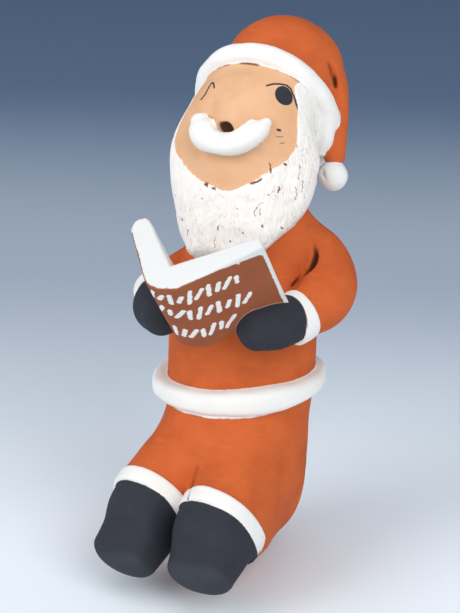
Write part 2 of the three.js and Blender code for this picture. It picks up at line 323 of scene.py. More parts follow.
MOUSTACHE_ROWS = (
    (-11.2, -2.6, 137.2, 0.9), (-10, -4, 135.6, 1.25), (-7.4, -5.9, 133.7, 1.25),
    (-3.4, -6.8, 132.7, 1.02), (1.8, -6.7, 133.1, 1.04), (6, -5.5, 135.1, 1.04),
    (9, -3.9, 137.4, 0.86), (10.6, -2.3, 139.3, 0.42),
)
BRIM_END_ROWS = ((20.6, 21.5, 136, 3.2, 3.2), (20.4, 20.5, 130.5, 2.9, 2.9), (19.4, 20.5, 126.5, 2.3, 2.3))
CROWN_ROWS = ((0, 23, 136.5, 0.957, 1.09), (0.4, 28, 140.5, 0.966, 1.04), (1.4, 32.5, 146, 0.932, 0.932))
TAIL_ROWS = (
    (5, 37.5, 152.3, 2.3), (12.3, 35.5, 151.2, 1.72), (18.6, 32, 146.2, 1.3),
    (21.4, 29, 138.6, 1.08), (22.6, 26, 131, 0.96), (23.4, 22.5, 124.5, 0.96),
)

# Rows of the boots: across, share of the boot's length past the heel, up, and the two shares of the
# leg's half width.
HEEL = -29
BOOT_ROWS = {
    "left": ((13, 0, 16.8, 0.955, 1.13), (13.2, 0.22, 14.6, 0.91, 1.01), (13.5, 0.42, 10.3, 0.84, 0.76),
             (13.8, 0.6, 7.1, 0.8, 0.57)),
    "right": ((12.4, 0, 16.8, 0.92, 1.13), (12.6, 0.22, 14.6, 0.88, 1.01), (13.1, 0.44, 10, 0.84, 0.76),
              (13.6, 0.68, 6.3, 0.83, 0.58)),
}
# Rows of the head and of the nape: half width is a share of the beard's, half height is millimetres.
HEAD_ROWS = (
    (0, 23, 151, 0.52, 7.5), (0, 18.5, 146, 0.7, 12.2), (0.2, 14.5, 141, 0.77, 14.5),
    (0, 10.8, 136, 0.86, 14.3), (-0.2, 8, 131, 0.95, 13.2), (-0.4, 6, 125, 1, 12),
    (-0.5, 4, 117, 0.96, 11.4), (-0.5, 1.8, 109, 0.87, 11.2), (-0.6, -1.4, 102.5, 0.75, 10.3),
    (-0.5, -5, 97.5, 0.57, 7.6),
)
NAPE_ROWS = (
    (0, 22, 115, 0.6, 8), (0, 21.5, 122, 0.75, 8.5), (0, 20.5, 130, 0.8, 8.5), (0, 20, 138, 0.8, 8.5),
)

BELT_MIDDLE = (-1.1, 3.5, 52.9)
BELT_AXES = np.array([(1, 0, 0.1), (0, 1, 0.056)])
# How far the belt's middle line lies outside the trunk, across and front to back.
BELT_OUT = (1.7, 0.9)
BELT_TURN = 0.42
BELT_NARROWING = 0.11
BELT_WAVE = 0.04
BELT_POWER = 2.9
BOOT_POWER = 2.3
BRIM_MIDDLE = (0, 23.5, 136.5)
# How much longer the brim is than it is wide.
BRIM_OVAL = 2.55
POMPOM_MIDDLE = (24, 20, 118.8)

# Flat faces: a place on each and the way it looks.
TOE_FACES = {
    "left": (((6, -48.5, 10), (-0.15, -0.97, 0.18)),),
    "right": (((-22, -46, 8), (-0.3, -0.92, 0.2)), ((-10.5, -44, 8), (0.9, -0.42, 0.1))),
}
HEM_CUT = ((13.1, -6.4, 102.4), (0.72, 0, -0.69))

# Creases and cracks in the clay: their rows, and how far each end swells out.
CREASES = {
    "leg_groove": ((
        (-1.1, -28.2, 34.4, 0.7, 1.2), (-1.5, -29.3, 32.4, 0.9, 1.7), (-2.2, -31, 29, 1, 2),
        (-3, -33, 25, 1, 2),
    ), (0.8, 0.5)),
    "arm_crease": ((
        (22.3, 7.6, 100.6, 0.4, 0.4), (24, 6, 97.7, 0.8, 0.8), (24.1, 4.2, 95.3, 1.1, 1.1),
        (22.9, 2.8, 92.9, 1.1, 1.1), (20.3, 2.2, 89.9, 0.8, 0.8), (18.5, -0.1, 87.9, 0.5, 0.5),
    ), (1, 1)),
    "cuff_crack": ((
        (-1.7, -29.6, 29.9, 0.35, 0.7), (-0.5, -34.6, 30, 0.35, 0.7), (0.1, -37.4, 28.4, 0.35, 0.7),
        (0.4, -39.3, 26.8, 0.3, 0.6),
    ), (1, 1)),
    "cap_crease": ((
        (18.9, 27.6, 152.6, 0.5, 0.7), (19.8, 28.1, 150.5, 0.8, 1.2), (20.6, 28, 147.8, 0.8, 1.2),
        (21.3, 27.4, 145.2, 0.5, 0.8),
    ), (1, 1)),
    "pompom_crack": ((
        (20.8, 17.7, 122.8, 0.4, 0.4), (21.7, 16.3, 121, 0.7, 0.7), (22.8, 15.4, 119.2, 0.6, 0.6),
        (23.6, 15.4, 117.7, 0.3, 0.3),
    ), (1, 1)),
}
# The open mouth is a hole with a shallower one beside it. A pinhole marks the left toe.
MOUTH_MIDDLE = (-0.9, -6.7, 136.8)
MOUTH_SIDE_MIDDLE = (-3.4, -6.2, 137.2)
MOUTH_SIDE_SHARE = 0.36
PINHOLE = ((8.8, -49.6, 7.8), 0.7)
HOLLOWS = ("mouth_hole", "mouth_side", "pinhole", *CREASES)

# The book, seen along its spine from its lowest corner, in millimetres across and back.
BOOK_FOOT = (0, -28.5, 74.9)
BOOK_ROUNDING = 0.8
LEFT_PAGE_CORNER = (23.8, 18.4)
VALLEY = (-1.8, 7.7)
SPINE_BEND = ((-8.4, 2.2), (-6, -2.2), (3, 0.4))
PAGE_END = ((-12.3, 20.4), (-15.2, 22.8), (-18.2, 21.4), (-18.7, 18))
# The width of the right pages that their end is drawn for.
DRAWN_PAGE_WIDTH = 24.5
# The brown of the cover: how far under the top its edge lies, how much it sags along the cover, how
# deep into the pages it reaches, how far from the cover's upright edges it ends, and how far it
# goes past the foot.
COVER_TOP = 0.2
COVER_SAG = 0.0045
COVER_DEPTH = 0.9
COVER_EDGE = 1.2
COVER_FOOT = 1
# The cover runs from the outline's last pages round the spine to the outline's first corner.
COVER_CORNERS = 6


def leg_across(size):
    """The way across both legs, which point a few degrees to the figure's right."""
    return (math.cos(size["leg_turn"]), math.sin(size["leg_turn"]), 0)


def body_forms(size):
    """The trunk, the lap and the belt."""
    half, deep = size["torso_width"] / 2, size["torso_depth"] / 2

    def belt_section(t):
        narrowing = BELT_NARROWING * math.cos(2 * t - 2 * BELT_TURN)
        high = 1 - BELT_NARROWING - narrowing + BELT_WAVE * math.sin(5 * t)
        return size["belt_height"] / 2 * high, size["belt_thickness"] / 2

    belt = ring_rows(BELT_MIDDLE, BELT_AXES, (half + BELT_OUT[0], deep + BELT_OUT[1]), belt_section)
    return {
        "torso": Roll(scaled(TORSO_ROWS, half, deep), ends=(1.28, 0.6)),
        "lap": Roll(turned(LAP_ROWS, size["leg_turn"]), leg_across(size), (0.5, 0.5)),
        "belt": Roll(belt, (0, 0, 1), (1, 1), BELT_POWER, 3, True),
    }


def leg_forms(size, side, tag):
    """One leg with its hip, cuff and boot."""

    def limb(rows, ends, power=2.0):
        rows = turned(scaled(mirrored(rows, side), size["leg_width"] / 2), size["leg_turn"])
        return Roll(rows, leg_across(size), ends, power)

    boot_rows = [(x, HEEL - share * size["boot_length"], *rest) for x, share, *rest in BOOT_ROWS[tag]]
    boot = limb(boot_rows, (0.2, 0.75), BOOT_POWER)
    for place, facing in TOE_FACES[tag]:
        boot = Pressed(boot, place, facing, 1)
    return {
        "leg_" + tag: limb(LEG_ROWS, (0.8, 0.2)),
        "hip_" + tag: limb(HIP_ROWS, (0.6, 0.8)),
        "leg_cuff_" + tag: limb(LEG_CUFF_ROWS, (0.1, 0.1)),
        "boot_" + tag: boot,
    }


def arm_forms(size, side, tag):
    """One arm with its cuff and mitten."""

    def limb(rows, thickness, ends=(1, 1)):
        return Roll(mirrored(scaled(rows, thickness / 2), side), (0, 0, 1), ends)

    return {
        "arm_" + tag: limb(ARM_ROWS[tag], size["arm_thickness"]),
        "sleeve_cuff_" + tag: limb(SLEEVE_CUFF_ROWS[tag], size["arm_thickness"], (0.2, 0.2)),
        "mitten_" + tag: limb(MITTEN_ROWS, size["mitten_thickness"], (0.3, 0.9)),
    }


def head_forms(size):
    """Head and beard in one sweep, the nape, the nose and the moustache, with the open mouth's hole."""
    half = size["beard_width"] / 2
    moustache = scaled(MOUSTACHE_ROWS, size["moustache_thickness"] / 2)
    return {
        "head": Pressed(Roll(scaled(HEAD_ROWS, half, 1), ends=(0.5, 0.5)), *HEM_CUT, 2),
        "nape": Roll(scaled(NAPE_ROWS, half, 1), ends=(0.8, 0.6)),
        "nose": Roll(NOSE_ROWS, ends=(0.5, 1)),
        "moustache": Roll(moustache, (0, 1, 0)),
        "mouth_hole": Ball(MOUTH_MIDDLE, size["mouth_hole"] / 2),
        "mouth_side": Ball(MOUTH_SIDE_MIDDLE, size["mouth_hole"] * MOUTH_SIDE_SHARE),
    }


def hat_forms(size):
    """The cap with its rolled brim, its tail and the pompom."""
    tilt = size["hat_tilt"]
    half, thick = size["hat_width"] / 2, size["brim_thickness"] / 2
    along = np.array((1.0, 0, 0))
    up = np.array((0, -math.sin(tilt), math.cos(tilt)))
    brim = ring_rows(BRIM_MIDDLE, (along, up), (half, half + BRIM_OVAL), lambda t: (thick, thick))
    return {
        "brim": Roll(brim, np.cross(along, up), (1, 1), 2, 3, True),
        "brim_end": Roll(BRIM_END_ROWS, (0, 1, 0)),
        "crown": Roll(scaled(CROWN_ROWS, half), ends=(0.2, 1)),
        "tail": Roll(scaled(TAIL_ROWS, size["tail_thickness"] / 2), (0, 1, 0)),
        "pompom": Ball(POMPOM_MIDDLE, size["pompom_size"] / 2),
    }


def bend(points, steps=6):
    """A quadratic curve between the first and last of three points."""
    a, b, c = (np.array(p) for p in points)
    t = np.linspace(0, 1, steps)[:, None]
    return (1 - t) ** 2 * a + 2 * t * (1 - t) * b + t**2 * c


def book_outline(left_width, right_width, thickness):
    """The open book seen along its spine: a V whose right pages curl back at their end."""
    outer = np.array(LEFT_PAGE_CORNER)
    outer *= left_width / np.linalg.norm(outer)
    inner = outer + np.array((-outer[1], outer[0])) / np.linalg.norm(outer) * thickness
    curl = smooth_rows(np.array(PAGE_END) * right_width / DRAWN_PAGE_WIDTH, 4)
    return [outer, inner, VALLEY, *curl, *bend(SPINE_BEND)]


def book_form(size):
    """The open book, which leans away from the reader."""
    lean = size["book_lean"]
    across, back, up = (1, 0, 0), (0, math.cos(lean), math.sin(lean)), (0, -math.sin(lean), math.cos(lean))
    outline = book_outline(size["left_page_width"], size["right_page_width"], size["page_thickness"])
    return Slab(outline, BOOK_FOOT, np.array([across, back, up]), size["book_height"], BOOK_ROUNDING)


def figure_forms(size):
    """Every form of the figure by name. size gives lengths in millimetres and angles in radians."""
    forms = body_forms(size)
    for side, tag in ((1, "left"), (-1, "right")):
        forms.update(leg_forms(size, side, tag))
        forms.update(arm_forms(size, side, tag))
    forms.update(head_forms(size))
    forms.update(hat_forms(size))
    forms["book"] = book_form(size)
    forms["pinhole"] = Ball(*PINHOLE)
    for name, (rows, ends) in CREASES.items():
        forms[name] = Roll(rows, ends=ends)
    return forms


def measure(forms, points, reach=9.0):
    """The distance from each form at each point.

    Points further than reach from a form's box get a rough value."""
    found = {}
    for name, form in forms.items():
        gap = np.maximum(np.maximum(form.low - points, points - form.top), 0)
        value = np.sqrt(np.einsum("ij,ij->i", gap, gap)) + 2
        near = value < reach + 2
        value[near] = form(points[near])
        found[name] = value
    return found


def clay(found, points):
    """The whole figure as one form, with the soft and sharp meetings of the real clay.

    The last number of each join and cut is the size of its fillet in millimetres."""
    height = points[:, 2]
    body = join(found["torso"], found["lap"], 9)
    legs = join(found["leg_left"], found["leg_right"], 1.2)
    legs = join(legs, np.minimum(found["hip_left"], found["hip_right"]), 4)
    body = cut(join(body, legs, 5), found["leg_groove"], 0.4)
    for side in ("left", "right"):
        shoulder = 0.9 + 5 * ramp(96, 103, height)
        body = join(body, found["arm_" + side], shoulder)
    for name in ("belt", "leg_cuff_left", "leg_cuff_right", "sleeve_cuff_left", "sleeve_cuff_right"):
        body = join(body, found[name], 0.5)
    body = cut(body, np.minimum(found["cuff_crack"], found["arm_crease"]), 0.3)
    boots = join(found["boot_left"], found["boot_right"], 0.5)
    body = join(body, cut(boots, found["pinhole"], 0.3), 0.4)
    head = join(found["head"], found["nape"], 5)
    head = cut(join(head, found["nose"], 5), join(found["mouth_hole"], found["mouth_side"], 1), 1.2)
    head = join(head, found["moustache"], 0.4)
    hat = join(found["crown"], found["tail"], 1.2 + 3 * ramp(147, 154, height))
    hat = cut(hat, found["cap_crease"], 0.6)
    hat = join(hat, join(found["brim"], found["brim_end"], 1.5), 0.7)
    hat = join(hat, cut(found["pompom"], found["pompom_crack"], 0.3), 0.5)
    whole = join(body, join(head, hat, 0.7), 0.7)
    hands = join(found["mitten_left"], found["mitten_right"], 0.5)
    whole = join(whole, hands, 0.4)
    whole = join(whole, found["book"], 0.4)
    return np.maximum(whole, -height)


# From a field to a mesh

def sample(field, low, high, pitch):
    """The field on a grid of this pitch, worked out exactly near its surface and roughly elsewhere."""
    steps = (6, 2, 1)
    count = np.ceil((high - low) / (pitch * steps[0])).astype(int)
    grid = np.full(count, FAR, np.float32)
    todo = np.indices(count).reshape(3, -1).T
    for step, finer in zip(steps, (*steps[1:], None)):
        size = pitch * step
        batches = np.array_split(todo, len(todo) // BATCH + 1)
        values = np.concatenate([field(low + (batch + 0.5) * size) for batch in batches])
        grid[tuple(todo.T)] = values
        if finer is None:
            return grid
        factor = step // finer
        near = todo[np.abs(values) < size * HALF_DIAGONAL + 1.0 + pitch]
        for axis in range(3):
            grid = np.repeat(grid, factor, axis)
        children = np.indices((factor,) * 3).reshape(3, -1).T
        todo = (near[:, None] * factor + children[None]).reshape(-1, 3)


def clear_pinches(grid, rounds=6):
    """Fills in grid squares whose inside corners touch only across a diagonal, where a mesh would pinch."""
    for _ in range(rounds):
        changed = 0
        for u, v in ((0, 1), (1, 2), (0, 2)):
            parts = {}
            for du in (0, 1):
                for dv in (0, 1):
                    cut_out = [slice(None)] * 3
                    cut_out[u] = slice(du, du - 1 or None)
                    cut_out[v] = slice(dv, dv - 1 or None)
                    parts[du, dv] = grid[tuple(cut_out)]
            for a, b in (((0, 0), (0, 1)), ((0, 1), (0, 0))):
                far_a, far_b = (1 - a[0], 1 - a[1]), (1 - b[0], 1 - b[1])
                pinched = (parts[a] < 0) & (parts[far_a] < 0) & (parts[b] >= 0) & (parts[far_b] >= 0)
                parts[b][pinched] = -0.02
                changed += int(pinched.sum())
        if not changed:
            return


def surface_net(grid, low, pitch):
    """Corners and four-sided faces of the surface where the grid's values change sign."""
    inside = grid < 0
    steps = np.indices((2,) * 3).reshape(3, -1).T
    corners = [tuple(slice(c, c - 1 or None) for c in corner) for corner in steps]
    count = sum(inside[c].astype(np.int8) for c in corners)
    cells = np.argwhere((count > 0) & (count < 8))
    number = np.full(count.shape, -1, np.int32)
    number[tuple(cells.T)] = np.arange(len(cells))
    total = np.zeros((len(cells), 3))
    crossings = np.zeros(len(cells))
    for axis in range(3):
        others = [a for a in range(3) if a != axis]
        for side in np.indices((2, 2)).reshape(2, -1).T:
            start = cells.copy()
            start[:, others[0]] += side[0]
            start[:, others[1]] += side[1]
            end = start.copy()
            end[:, axis] += 1
            a, b = grid[tuple(start.T)], grid[tuple(end.T)]
            crossed = (a < 0) != (b < 0)
            place = start[crossed].astype(float)
            place[:, axis] += a[crossed] / (a[crossed] - b[crossed])
            total[crossed] += place
            crossings[crossed] += 1
    points = low + (total / crossings[:, None] + 0.5) * pitch
    faces = []
    for axis in range(3):
        u, v = (axis + 1) % 3, (axis + 2) % 3
        ahead = [slice(None)] * 3
        ahead[axis] = slice(1, None)
        behind = [slice(None)] * 3
        behind[axis] = slice(None, -1)
        change = inside[tuple(behind)].astype(np.int8) - inside[tuple(ahead)]
        for sign in (1, -1):
            edge = np.argwhere(change == sign)
            quad = []
            for du, dv in ((0, 0), (-1, 0), (-1, -1), (0, -1)):
                cell = edge.copy()
                cell[:, u] += du
                cell[:, v] += dv
                quad.append(number[tuple(cell.T)])
            faces.append(np.stack(quad[::sign], 1))
    return points, np.vstack(faces)


def largest_piece(points, faces):
    """The surface without the bubbles of a few cells that the field can leave inside the clay."""
    label = np.arange(len(points))
    while True:
        spread = label.copy()
        np.minimum.at(spread, faces.ravel(), np.repeat(label[faces].min(axis=1), faces.shape[1]))
        spread = spread[spread]
        if np.array_equal(spread, label):
            break
        label = spread
    kept = label == np.bincount(label).argmax()
    number = np.cumsum(kept) - 1
    return points[kept], number[faces[kept[faces[:, 0]]]]


def mesh_of(points, faces, name):
    """A mesh of four-sided faces from arrays."""
    mesh = bpy.data.meshes.new(name)
    mesh.vertices.add(len(points))
    mesh.vertices.foreach_set("co", points.astype(np.float32).ravel())
    mesh.loops.add(faces.size)
    mesh.loops.foreach_set("vertex_index", faces.astype(np.int32).ravel())
    mesh.polygons.add(len(faces))
    mesh.polygons.foreach_set("loop_start", np.arange(0, faces.size, 4, dtype=np.int32))
    mesh.update(calc_edges=True)
    return mesh


def corners_of(mesh):
    """The mesh's corners, and the way each faces."""
    points = np.empty(len(mesh.vertices) * 3, np.float32)
    mesh.vertices.foreach_get("co", points)
    normals = np.empty(len(mesh.vertices) * 3, np.float32)
    mesh.vertex_normals.foreach_get("vector", normals)
    return points.reshape(-1, 3).astype(float), normals.reshape(-1, 3).astype(float)


# Maps that lie on the face, the beard and the book

FACE_CENTRE = np.array((0, 12, 133))
FACE_OUT = np.array((0, -0.8486, 0.5291))
FACE_UP = np.array((0, 0.5291, 0.8486))
FACE_RADIUS = 20

# Outline of the painted face on its map, from the chin up past the figure's left cheek and back
# down its right one.
FACE_EDGE = (
    (0.4, -23.9), (7.4, -21.7), (13.5, -17.7), (18.3, -13.5), (21, -8.8), (21.6, -2.9), (20.3, 5.9),
    (18.3, 10.2), (16.9, 13.4), (16.6, 20), (0, 26), (-16.6, 20), (-18.5, 11), (-21.5, 5), (-23.8, -2),
    (-23.4, -9.6), (-19.6, -15), (-13.3, -20.2), (-7.3, -22.5),
)


def face_map(points):
    """Where each point lies on the face, sideways and upwards in millimetres from its middle."""
    away = points - FACE_CENTRE
    away /= np.maximum(np.linalg.norm(away, axis=1), 1e-6)[:, None]
    angle = np.arccos(np.clip(away @ FACE_OUT, -1, 1))
    stretch = FACE_RADIUS * angle / np.maximum(np.sin(angle), 1e-3)
    return np.stack([away[:, 0] * stretch, away @ FACE_UP * stretch], 1)


def inside_outline(outline, flat):
    """Signed distance to a closed smooth outline on a map, positive inside."""
    line = smooth_rows(outline, 5, True)
    shape = Slab(line[:-1], (0, 0, 0), np.eye(3), 1, 0)
    return -shape.across(flat)


def book_map(book, points):
    """Where each point lies on the book's cover, in millimetres.

    Along it from the spine toward the left pages' edge, up the spine, how deep under it, and how far
    from its nearer edge."""
    local = book.local(points)
    cover = np.vstack([book.outline[-COVER_CORNERS - 1:], book.outline[:1]])
    lengths = np.linalg.norm(np.diff(cover, axis=0), axis=1)
    starts = np.cumsum(lengths) - lengths.sum()
    best = np.full(len(points), FAR)
    along = np.zeros(len(points))
    for a, b, start, length in zip(cover, cover[1:], starts, lengths):
        step = (b - a) / length
        t = np.clip((local[:, :2] - a) @ step, 0, length)
        gap = np.linalg.norm(local[:, :2] - a - t[:, None] * step, axis=1)
        closer = gap < best
        best[closer] = gap[closer]
        along[closer] = start - length + t[closer] + lengths[-1]
    side = np.minimum(lengths[-1] - along, along + lengths[:-1].sum())
    return along, local[:, 2], best, side


# Relief of the clay surface

def lattice_noise(points, seed):
    """Smooth noise from -1 to 1 at points given in cells of the lattice."""
    table = np.random.default_rng(seed).uniform(-1, 1, (32, 32, 32))
    base = np.floor(points).astype(int)
    t = points - base
    t = t * t * (3 - 2 * t)
    out = np.zeros(len(points))
    for corner in np.indices((2, 2, 2)).reshape(3, -1).T:
        weight = np.prod(np.where(corner, t, 1 - t), 1)
        out += weight * table[tuple(((base + corner) % 32).T)]
    return out


def beard_grooves(points):
    """Scratched strands that run down the beard: 0 on a strand, down to -1 in a groove."""
    fine = lattice_noise(points * (0.95, 0.95, 0.16) + (3, 9, 1), 5)
    long = lattice_noise(points * (0.5, 0.5, 0.07), 8)
    lumps = lattice_noise(points * (0.3, 0.3, 0.22), 11)
    strands = -np.abs(fine + 0.5 * long)
    return ramp(-0.35, 0.0, strands) * -1 + 0.55 * lumps


# Marks of the hands in the clay: height and width of each size of dent, and the seed of its noise.
# The trim has its own over those of the whole figure.
BODY_DENTS = ((0.10, 7, 1), (0.05, 3.2, 2))
TRIM_DENTS = ((0.08, 2.2, 4), (0.22, 5, 6))
# The layer of the beard stands out from the face. Its edge is ragged, more so low down.
BEARD_RISE = 0.42
RAGGED_HIGH = 0.1
RAGGED_LOW = 0.3
RAGGED_WIDTH = 1.3
RAGGED_SEED = 3


def dents(points, rows):
    """The height of dents of each size, added up."""
    return sum(height * lattice_noise(points / width, seed) for height, width, seed in rows)


def relief(margins, face, points, depth):
    """How far the surface stands out from its plain form, in millimetres."""
    rise = dents(points, BODY_DENTS)
    head = ramp(-0.4, 0.4, margins["head"])
    low = ramp(134, 128, points[:, 2])
    ragged = (RAGGED_HIGH + RAGGED_LOW * low) * lattice_noise(points / RAGGED_WIDTH, RAGGED_SEED)
    rise += BEARD_RISE * head * ramp(0.45, -0.35, face + ragged)
    shaggy = head * ramp(0.2, -1.6, face) * ramp(142, 132, points[:, 2])
    rise += shaggy * depth * beard_grooves(points)
    return rise + ramp(-0.5, 0.5, margins["trim"]) * dents(points, TRIM_DENTS)


# Which forms each paint covers. The rest has the suit's.
PAINTS = {
    "trim": ("belt", "leg_cuff_left", "leg_cuff_right", "sleeve_cuff_left", "sleeve_cuff_right", "brim",
             "brim_end", "pompom", "moustache"),
    "black": ("boot_left", "boot_right", "mitten_left", "mitten_right"),
    "head": ("head", "nape", "nose"),
    "book": ("book",),
}
# Forms smoothed into each other, so no seam shows between them.
SMOOTHED = (
    ("torso", "lap", "leg_left", "leg_right", "hip_left", "hip_right"), ("head", "nape", "nose"),
    ("crown", "tail"), ("brim", "brim_end"),
)


def paint_margins(found):
    """How far each point lies inside the area of each paint, in millimetres.

    Also how far it lies from a seam of the clay, and how deep in a hollow."""
    names = [n for n in found if n not in HOLLOWS]
    margins = {}
    for paint, own in PAINTS.items():
        mine = np.min([found[n] for n in own], 0)
        others = np.min([found[n] for n in names if n not in own], 0)
        margins[paint] = (others - mine) / 2
    groups = [np.min([found[n] for n in group], 0) for group in SMOOTHED]
    near = np.sort(np.array(groups + [found[n] for n in names if n not in sum(SMOOTHED, ())]), 0)
    margins["seam"] = near[1] - near[0]
    # How deep each point lies in a hollow, crease or hole: the material darkens these as painted shade.
    depth = -np.min([found[n] for n in names], 0)
    margins["hollow"] = depth * ramp(0.7, 0.2, np.min([found[n] for n in HOLLOWS], 0))
    return margins


# Shader nodes

def srgb(*levels):
    """A screen colour from 0 to 255 as the linear colour that shaders take."""
    return tuple((v / 255 / 12.92) if v < 10.3 else ((v / 255 + 0.055) / 1.055) ** 2.4 for v in levels)


# The places of a Mix node's sockets when it mixes colours.
MIX_FACTOR, MIX_FIRST, MIX_SECOND = 0, 6, 7
MIX_RESULT = 2


class Tree:
    """Adds nodes to a node tree and joins them up."""

    def __init__(self, tree):
        self.tree = tree

    def node(self, kind, inputs=(), **settings):
        made = self.tree.nodes.new("ShaderNode" + kind)
        for key, value in settings.items():
            setattr(made, key, value)
        for key, value in dict(inputs).items():
            self.give(made.inputs[key], value)
        return made

    def give(self, socket, value):
        if isinstance(value, bpy.types.NodeSocket):
            self.tree.links.new(value, socket)
        else:
            socket.default_value = value

    def math(self, operation, a, b=0.0):
        return self.node("Math", {0: a, 1: b}, operation=operation).outputs[0]

    def times(self, a, b):
        return self.math("MULTIPLY", a, b)

    def most(self, a, b):
        return self.math("MAXIMUM", a, b)

    def vector(self, operation, a, b=(0, 0, 0), output=0):
        return self.node("VectorMath", {0: a, 1: b}, operation=operation).outputs[output]

    def grow(self, vector, factor):
        return self.node("VectorMath", {0: vector, "Scale": factor}, operation="SCALE").outputs[0]

    def noise(self, vector, scale, detail=2.0, roughness=0.5, distortion=0.0):
        inputs = {"Vector": vector, "Scale": scale, "Detail": detail, "Roughness": roughness,
                  "Distortion": distortion}
        return self.node("TexNoise", inputs).outputs["Fac"]

    def spread(self, value, low, high, to_low=0.0, to_high=1.0):
        inputs = {"Value": value, "From Min": low, "From Max": high, "To Min": to_low, "To Max": to_high}
        return self.node("MapRange", inputs, interpolation_type="SMOOTHSTEP").outputs[0]

    def mix(self, factor, a, b, blend="MIX"):
        made = self.node("Mix", data_type="RGBA", blend_type=blend)
        self.give(made.inputs[MIX_FACTOR], factor)
        self.give(made.inputs[MIX_FIRST], a)
        self.give(made.inputs[MIX_SECOND], b)
        return made.outputs[MIX_RESULT]

    def group(self, name, inputs):
        made = self.node("Group")
        made.node_tree = bpy.data.node_groups[name]
        for key, value in inputs.items():
            self.give(made.inputs[key], value)
        return made.outputs

    def finish(self, inputs):
        """The surface shader joined to the material's output."""
        shader = self.node("BsdfPrincipled", inputs)
        self.tree.links.new(shader.outputs[0], self.node("OutputMaterial").inputs[0])

    def value(self, name):
        """A number kept at every corner of the mesh."""
        return self.node("Attribute", attribute_name=name).outputs["Fac"]

    def place(self, name):
        """A position kept at every corner of the mesh."""
        return self.node("Attribute", attribute_name=name).outputs["Vector"]


def new_group(name, inputs, outputs):
    """A shader node group with named sockets: its tree, what comes in, and where its results go."""
    tree = bpy.data.node_groups.new(name, "ShaderNodeTree")
    for key, (kind, default) in inputs.items():
        socket = tree.interface.new_socket(key, in_out="INPUT", socket_type="NodeSocket" + kind)
        if default is not None:
            socket.default_value = default
    for key, kind in outputs.items():
        tree.interface.new_socket(key, in_out="OUTPUT", socket_type="NodeSocket" + kind)
    return Tree(tree), tree.nodes.new("NodeGroupInput").outputs, tree.nodes.new("NodeGroupOutput").inputs


def give(tree, results, **values):
    """Joins values to a group's results by name."""
    for key, value in values.items():
        tree.tree.links.new(value, results[key])


def tint(colour, *factors):
    """A colour with each level times its factor."""
    return tuple(c * f for c, f in zip(colour[:3], factors)) + (1.0,)


EDGE = "Brushed edge"
STROKE = "Painted stroke"
MARKS = "Brush marks"
SLIP = "Brushed slip"


def edge_group():
    """A painted area's mask, its edge wavy as a loaded brush leaves it."""
    tree, given, results = new_group(EDGE, {
        "Place": ("Vector", None), "Margin": ("Float", 0.0), "Waviness": ("Float", 0.3),
        "Wave": ("Float", 0.6), "Softness": ("Float", 0.12),
    }, {"Mask": "Float"})
    wave = tree.noise(given["Place"], given["Wave"], 2.5, 0.6)
    shift = tree.times(tree.math("SUBTRACT", wave, 0.5), given["Waviness"])
    moved = tree.math("ADD", given["Margin"], shift)
    low = tree.times(given["Softness"], -1.0)
    give(tree, results, Mask=tree.spread(moved, low, given["Softness"]))


def stroke_group():
    """The mask of one brush stroke between two points of a map."""
    tree, given, results = new_group(STROKE, {
        "Map": ("Vector", None), "Start": ("Vector", None), "End": ("Vector", None),
        "Radius": ("Float", 0.5), "Softness": ("Float", 0.12), "Before": ("Float", 0.0),
    }, {"Mask": "Float"})
    away = tree.vector("SUBTRACT", given["Map"], given["Start"])
    step = tree.vector("SUBTRACT", given["End"], given["Start"])
    along = tree.vector("DOT_PRODUCT", away, step, "Value")
    share = tree.math("DIVIDE", along, tree.vector("DOT_PRODUCT", step, step, "Value"))
    share = tree.math("MINIMUM", tree.most(share, 0.0), 1.0)
    gap = tree.vector("LENGTH", tree.vector("SUBTRACT", away, tree.grow(step, share)), output="Value")
    depth = tree.math("SUBTRACT", given["Radius"], gap)
    low = tree.times(given["Softness"], -1.0)
    mask = tree.spread(depth, low, given["Softness"])
    give(tree, results, Mask=tree.most(mask, given["Before"]))


def marks_group():
    """The marks of slip brushed dry over coarse clay: clouds, streaks and grain."""
    tree, given, results = new_group(MARKS, {"Place": ("Vector", None)}, {
        "Cloud": "Float", "Streak": "Float", "Grain": "Float",
    })
    place = given["Place"]
    combed = tree.vector("MULTIPLY", place, (0.16, 0.16, 1.3))
    give(tree, results, Cloud=tree.spread(tree.noise(place, 0.09, 3.0, 0.6), 0.35, 0.7),
         Streak=tree.noise(combed, 0.9, 3.0, 0.65, 0.3), Grain=tree.noise(place, 4.5, 2.0, 0.6))


def slip_group():
    """The colour of one slip with its clouds, streaks and specks."""
    tree, given, results = new_group(SLIP, {
        "Cloud": ("Float", 0.0), "Streak": ("Float", 0.0), "Grain": ("Float", 0.0),
        "Colour": ("Color", None), "Cloud Colour": ("Color", None), "Streak Colour": ("Color", None),
        "Speck Colour": ("Color", None), "Clouds": ("Float", 0.5), "Streaks": ("Float", 0.5),
        "Specks": ("Float", 0.3),
    }, {"Colour": "Color"})
    clouds = tree.times(given["Cloud"], given["Clouds"])
    colour = tree.mix(clouds, given["Colour"], given["Cloud Colour"])
    strong = tree.spread(given["Streak"], 0.52, 0.75)
    colour = tree.mix(tree.times(strong, given["Streaks"]), colour, given["Streak Colour"])
    specks = tree.spread(given["Grain"], 0.66, 0.76)
    colour = tree.mix(tree.times(specks, given["Specks"]), colour, given["Speck Colour"])
    give(tree, results, Colour=colour)


GROUPS = {EDGE: edge_group, STROKE: stroke_group, MARKS: marks_group, SLIP: slip_group}

# Dabs of light slip on the cover: three rows, each from its start to its end on the cover's map,
# with how many. The lengths and tilts follow each other along the rows.
DAB_ROWS = (((-9.5, 28.3), (16.5, 24.4), 10), ((-9, 20.8), (17, 13.9), 10), ((-8, 8.8), (9.5, 6.9), 7))
DAB_LENGTHS = (4.4, 3.0, 4.2, 2.4, 4.8, 3.6)
DAB_TILTS = (66, 50, 82, 58, 72, 46, 78)
DAB_RADIUS = 0.74


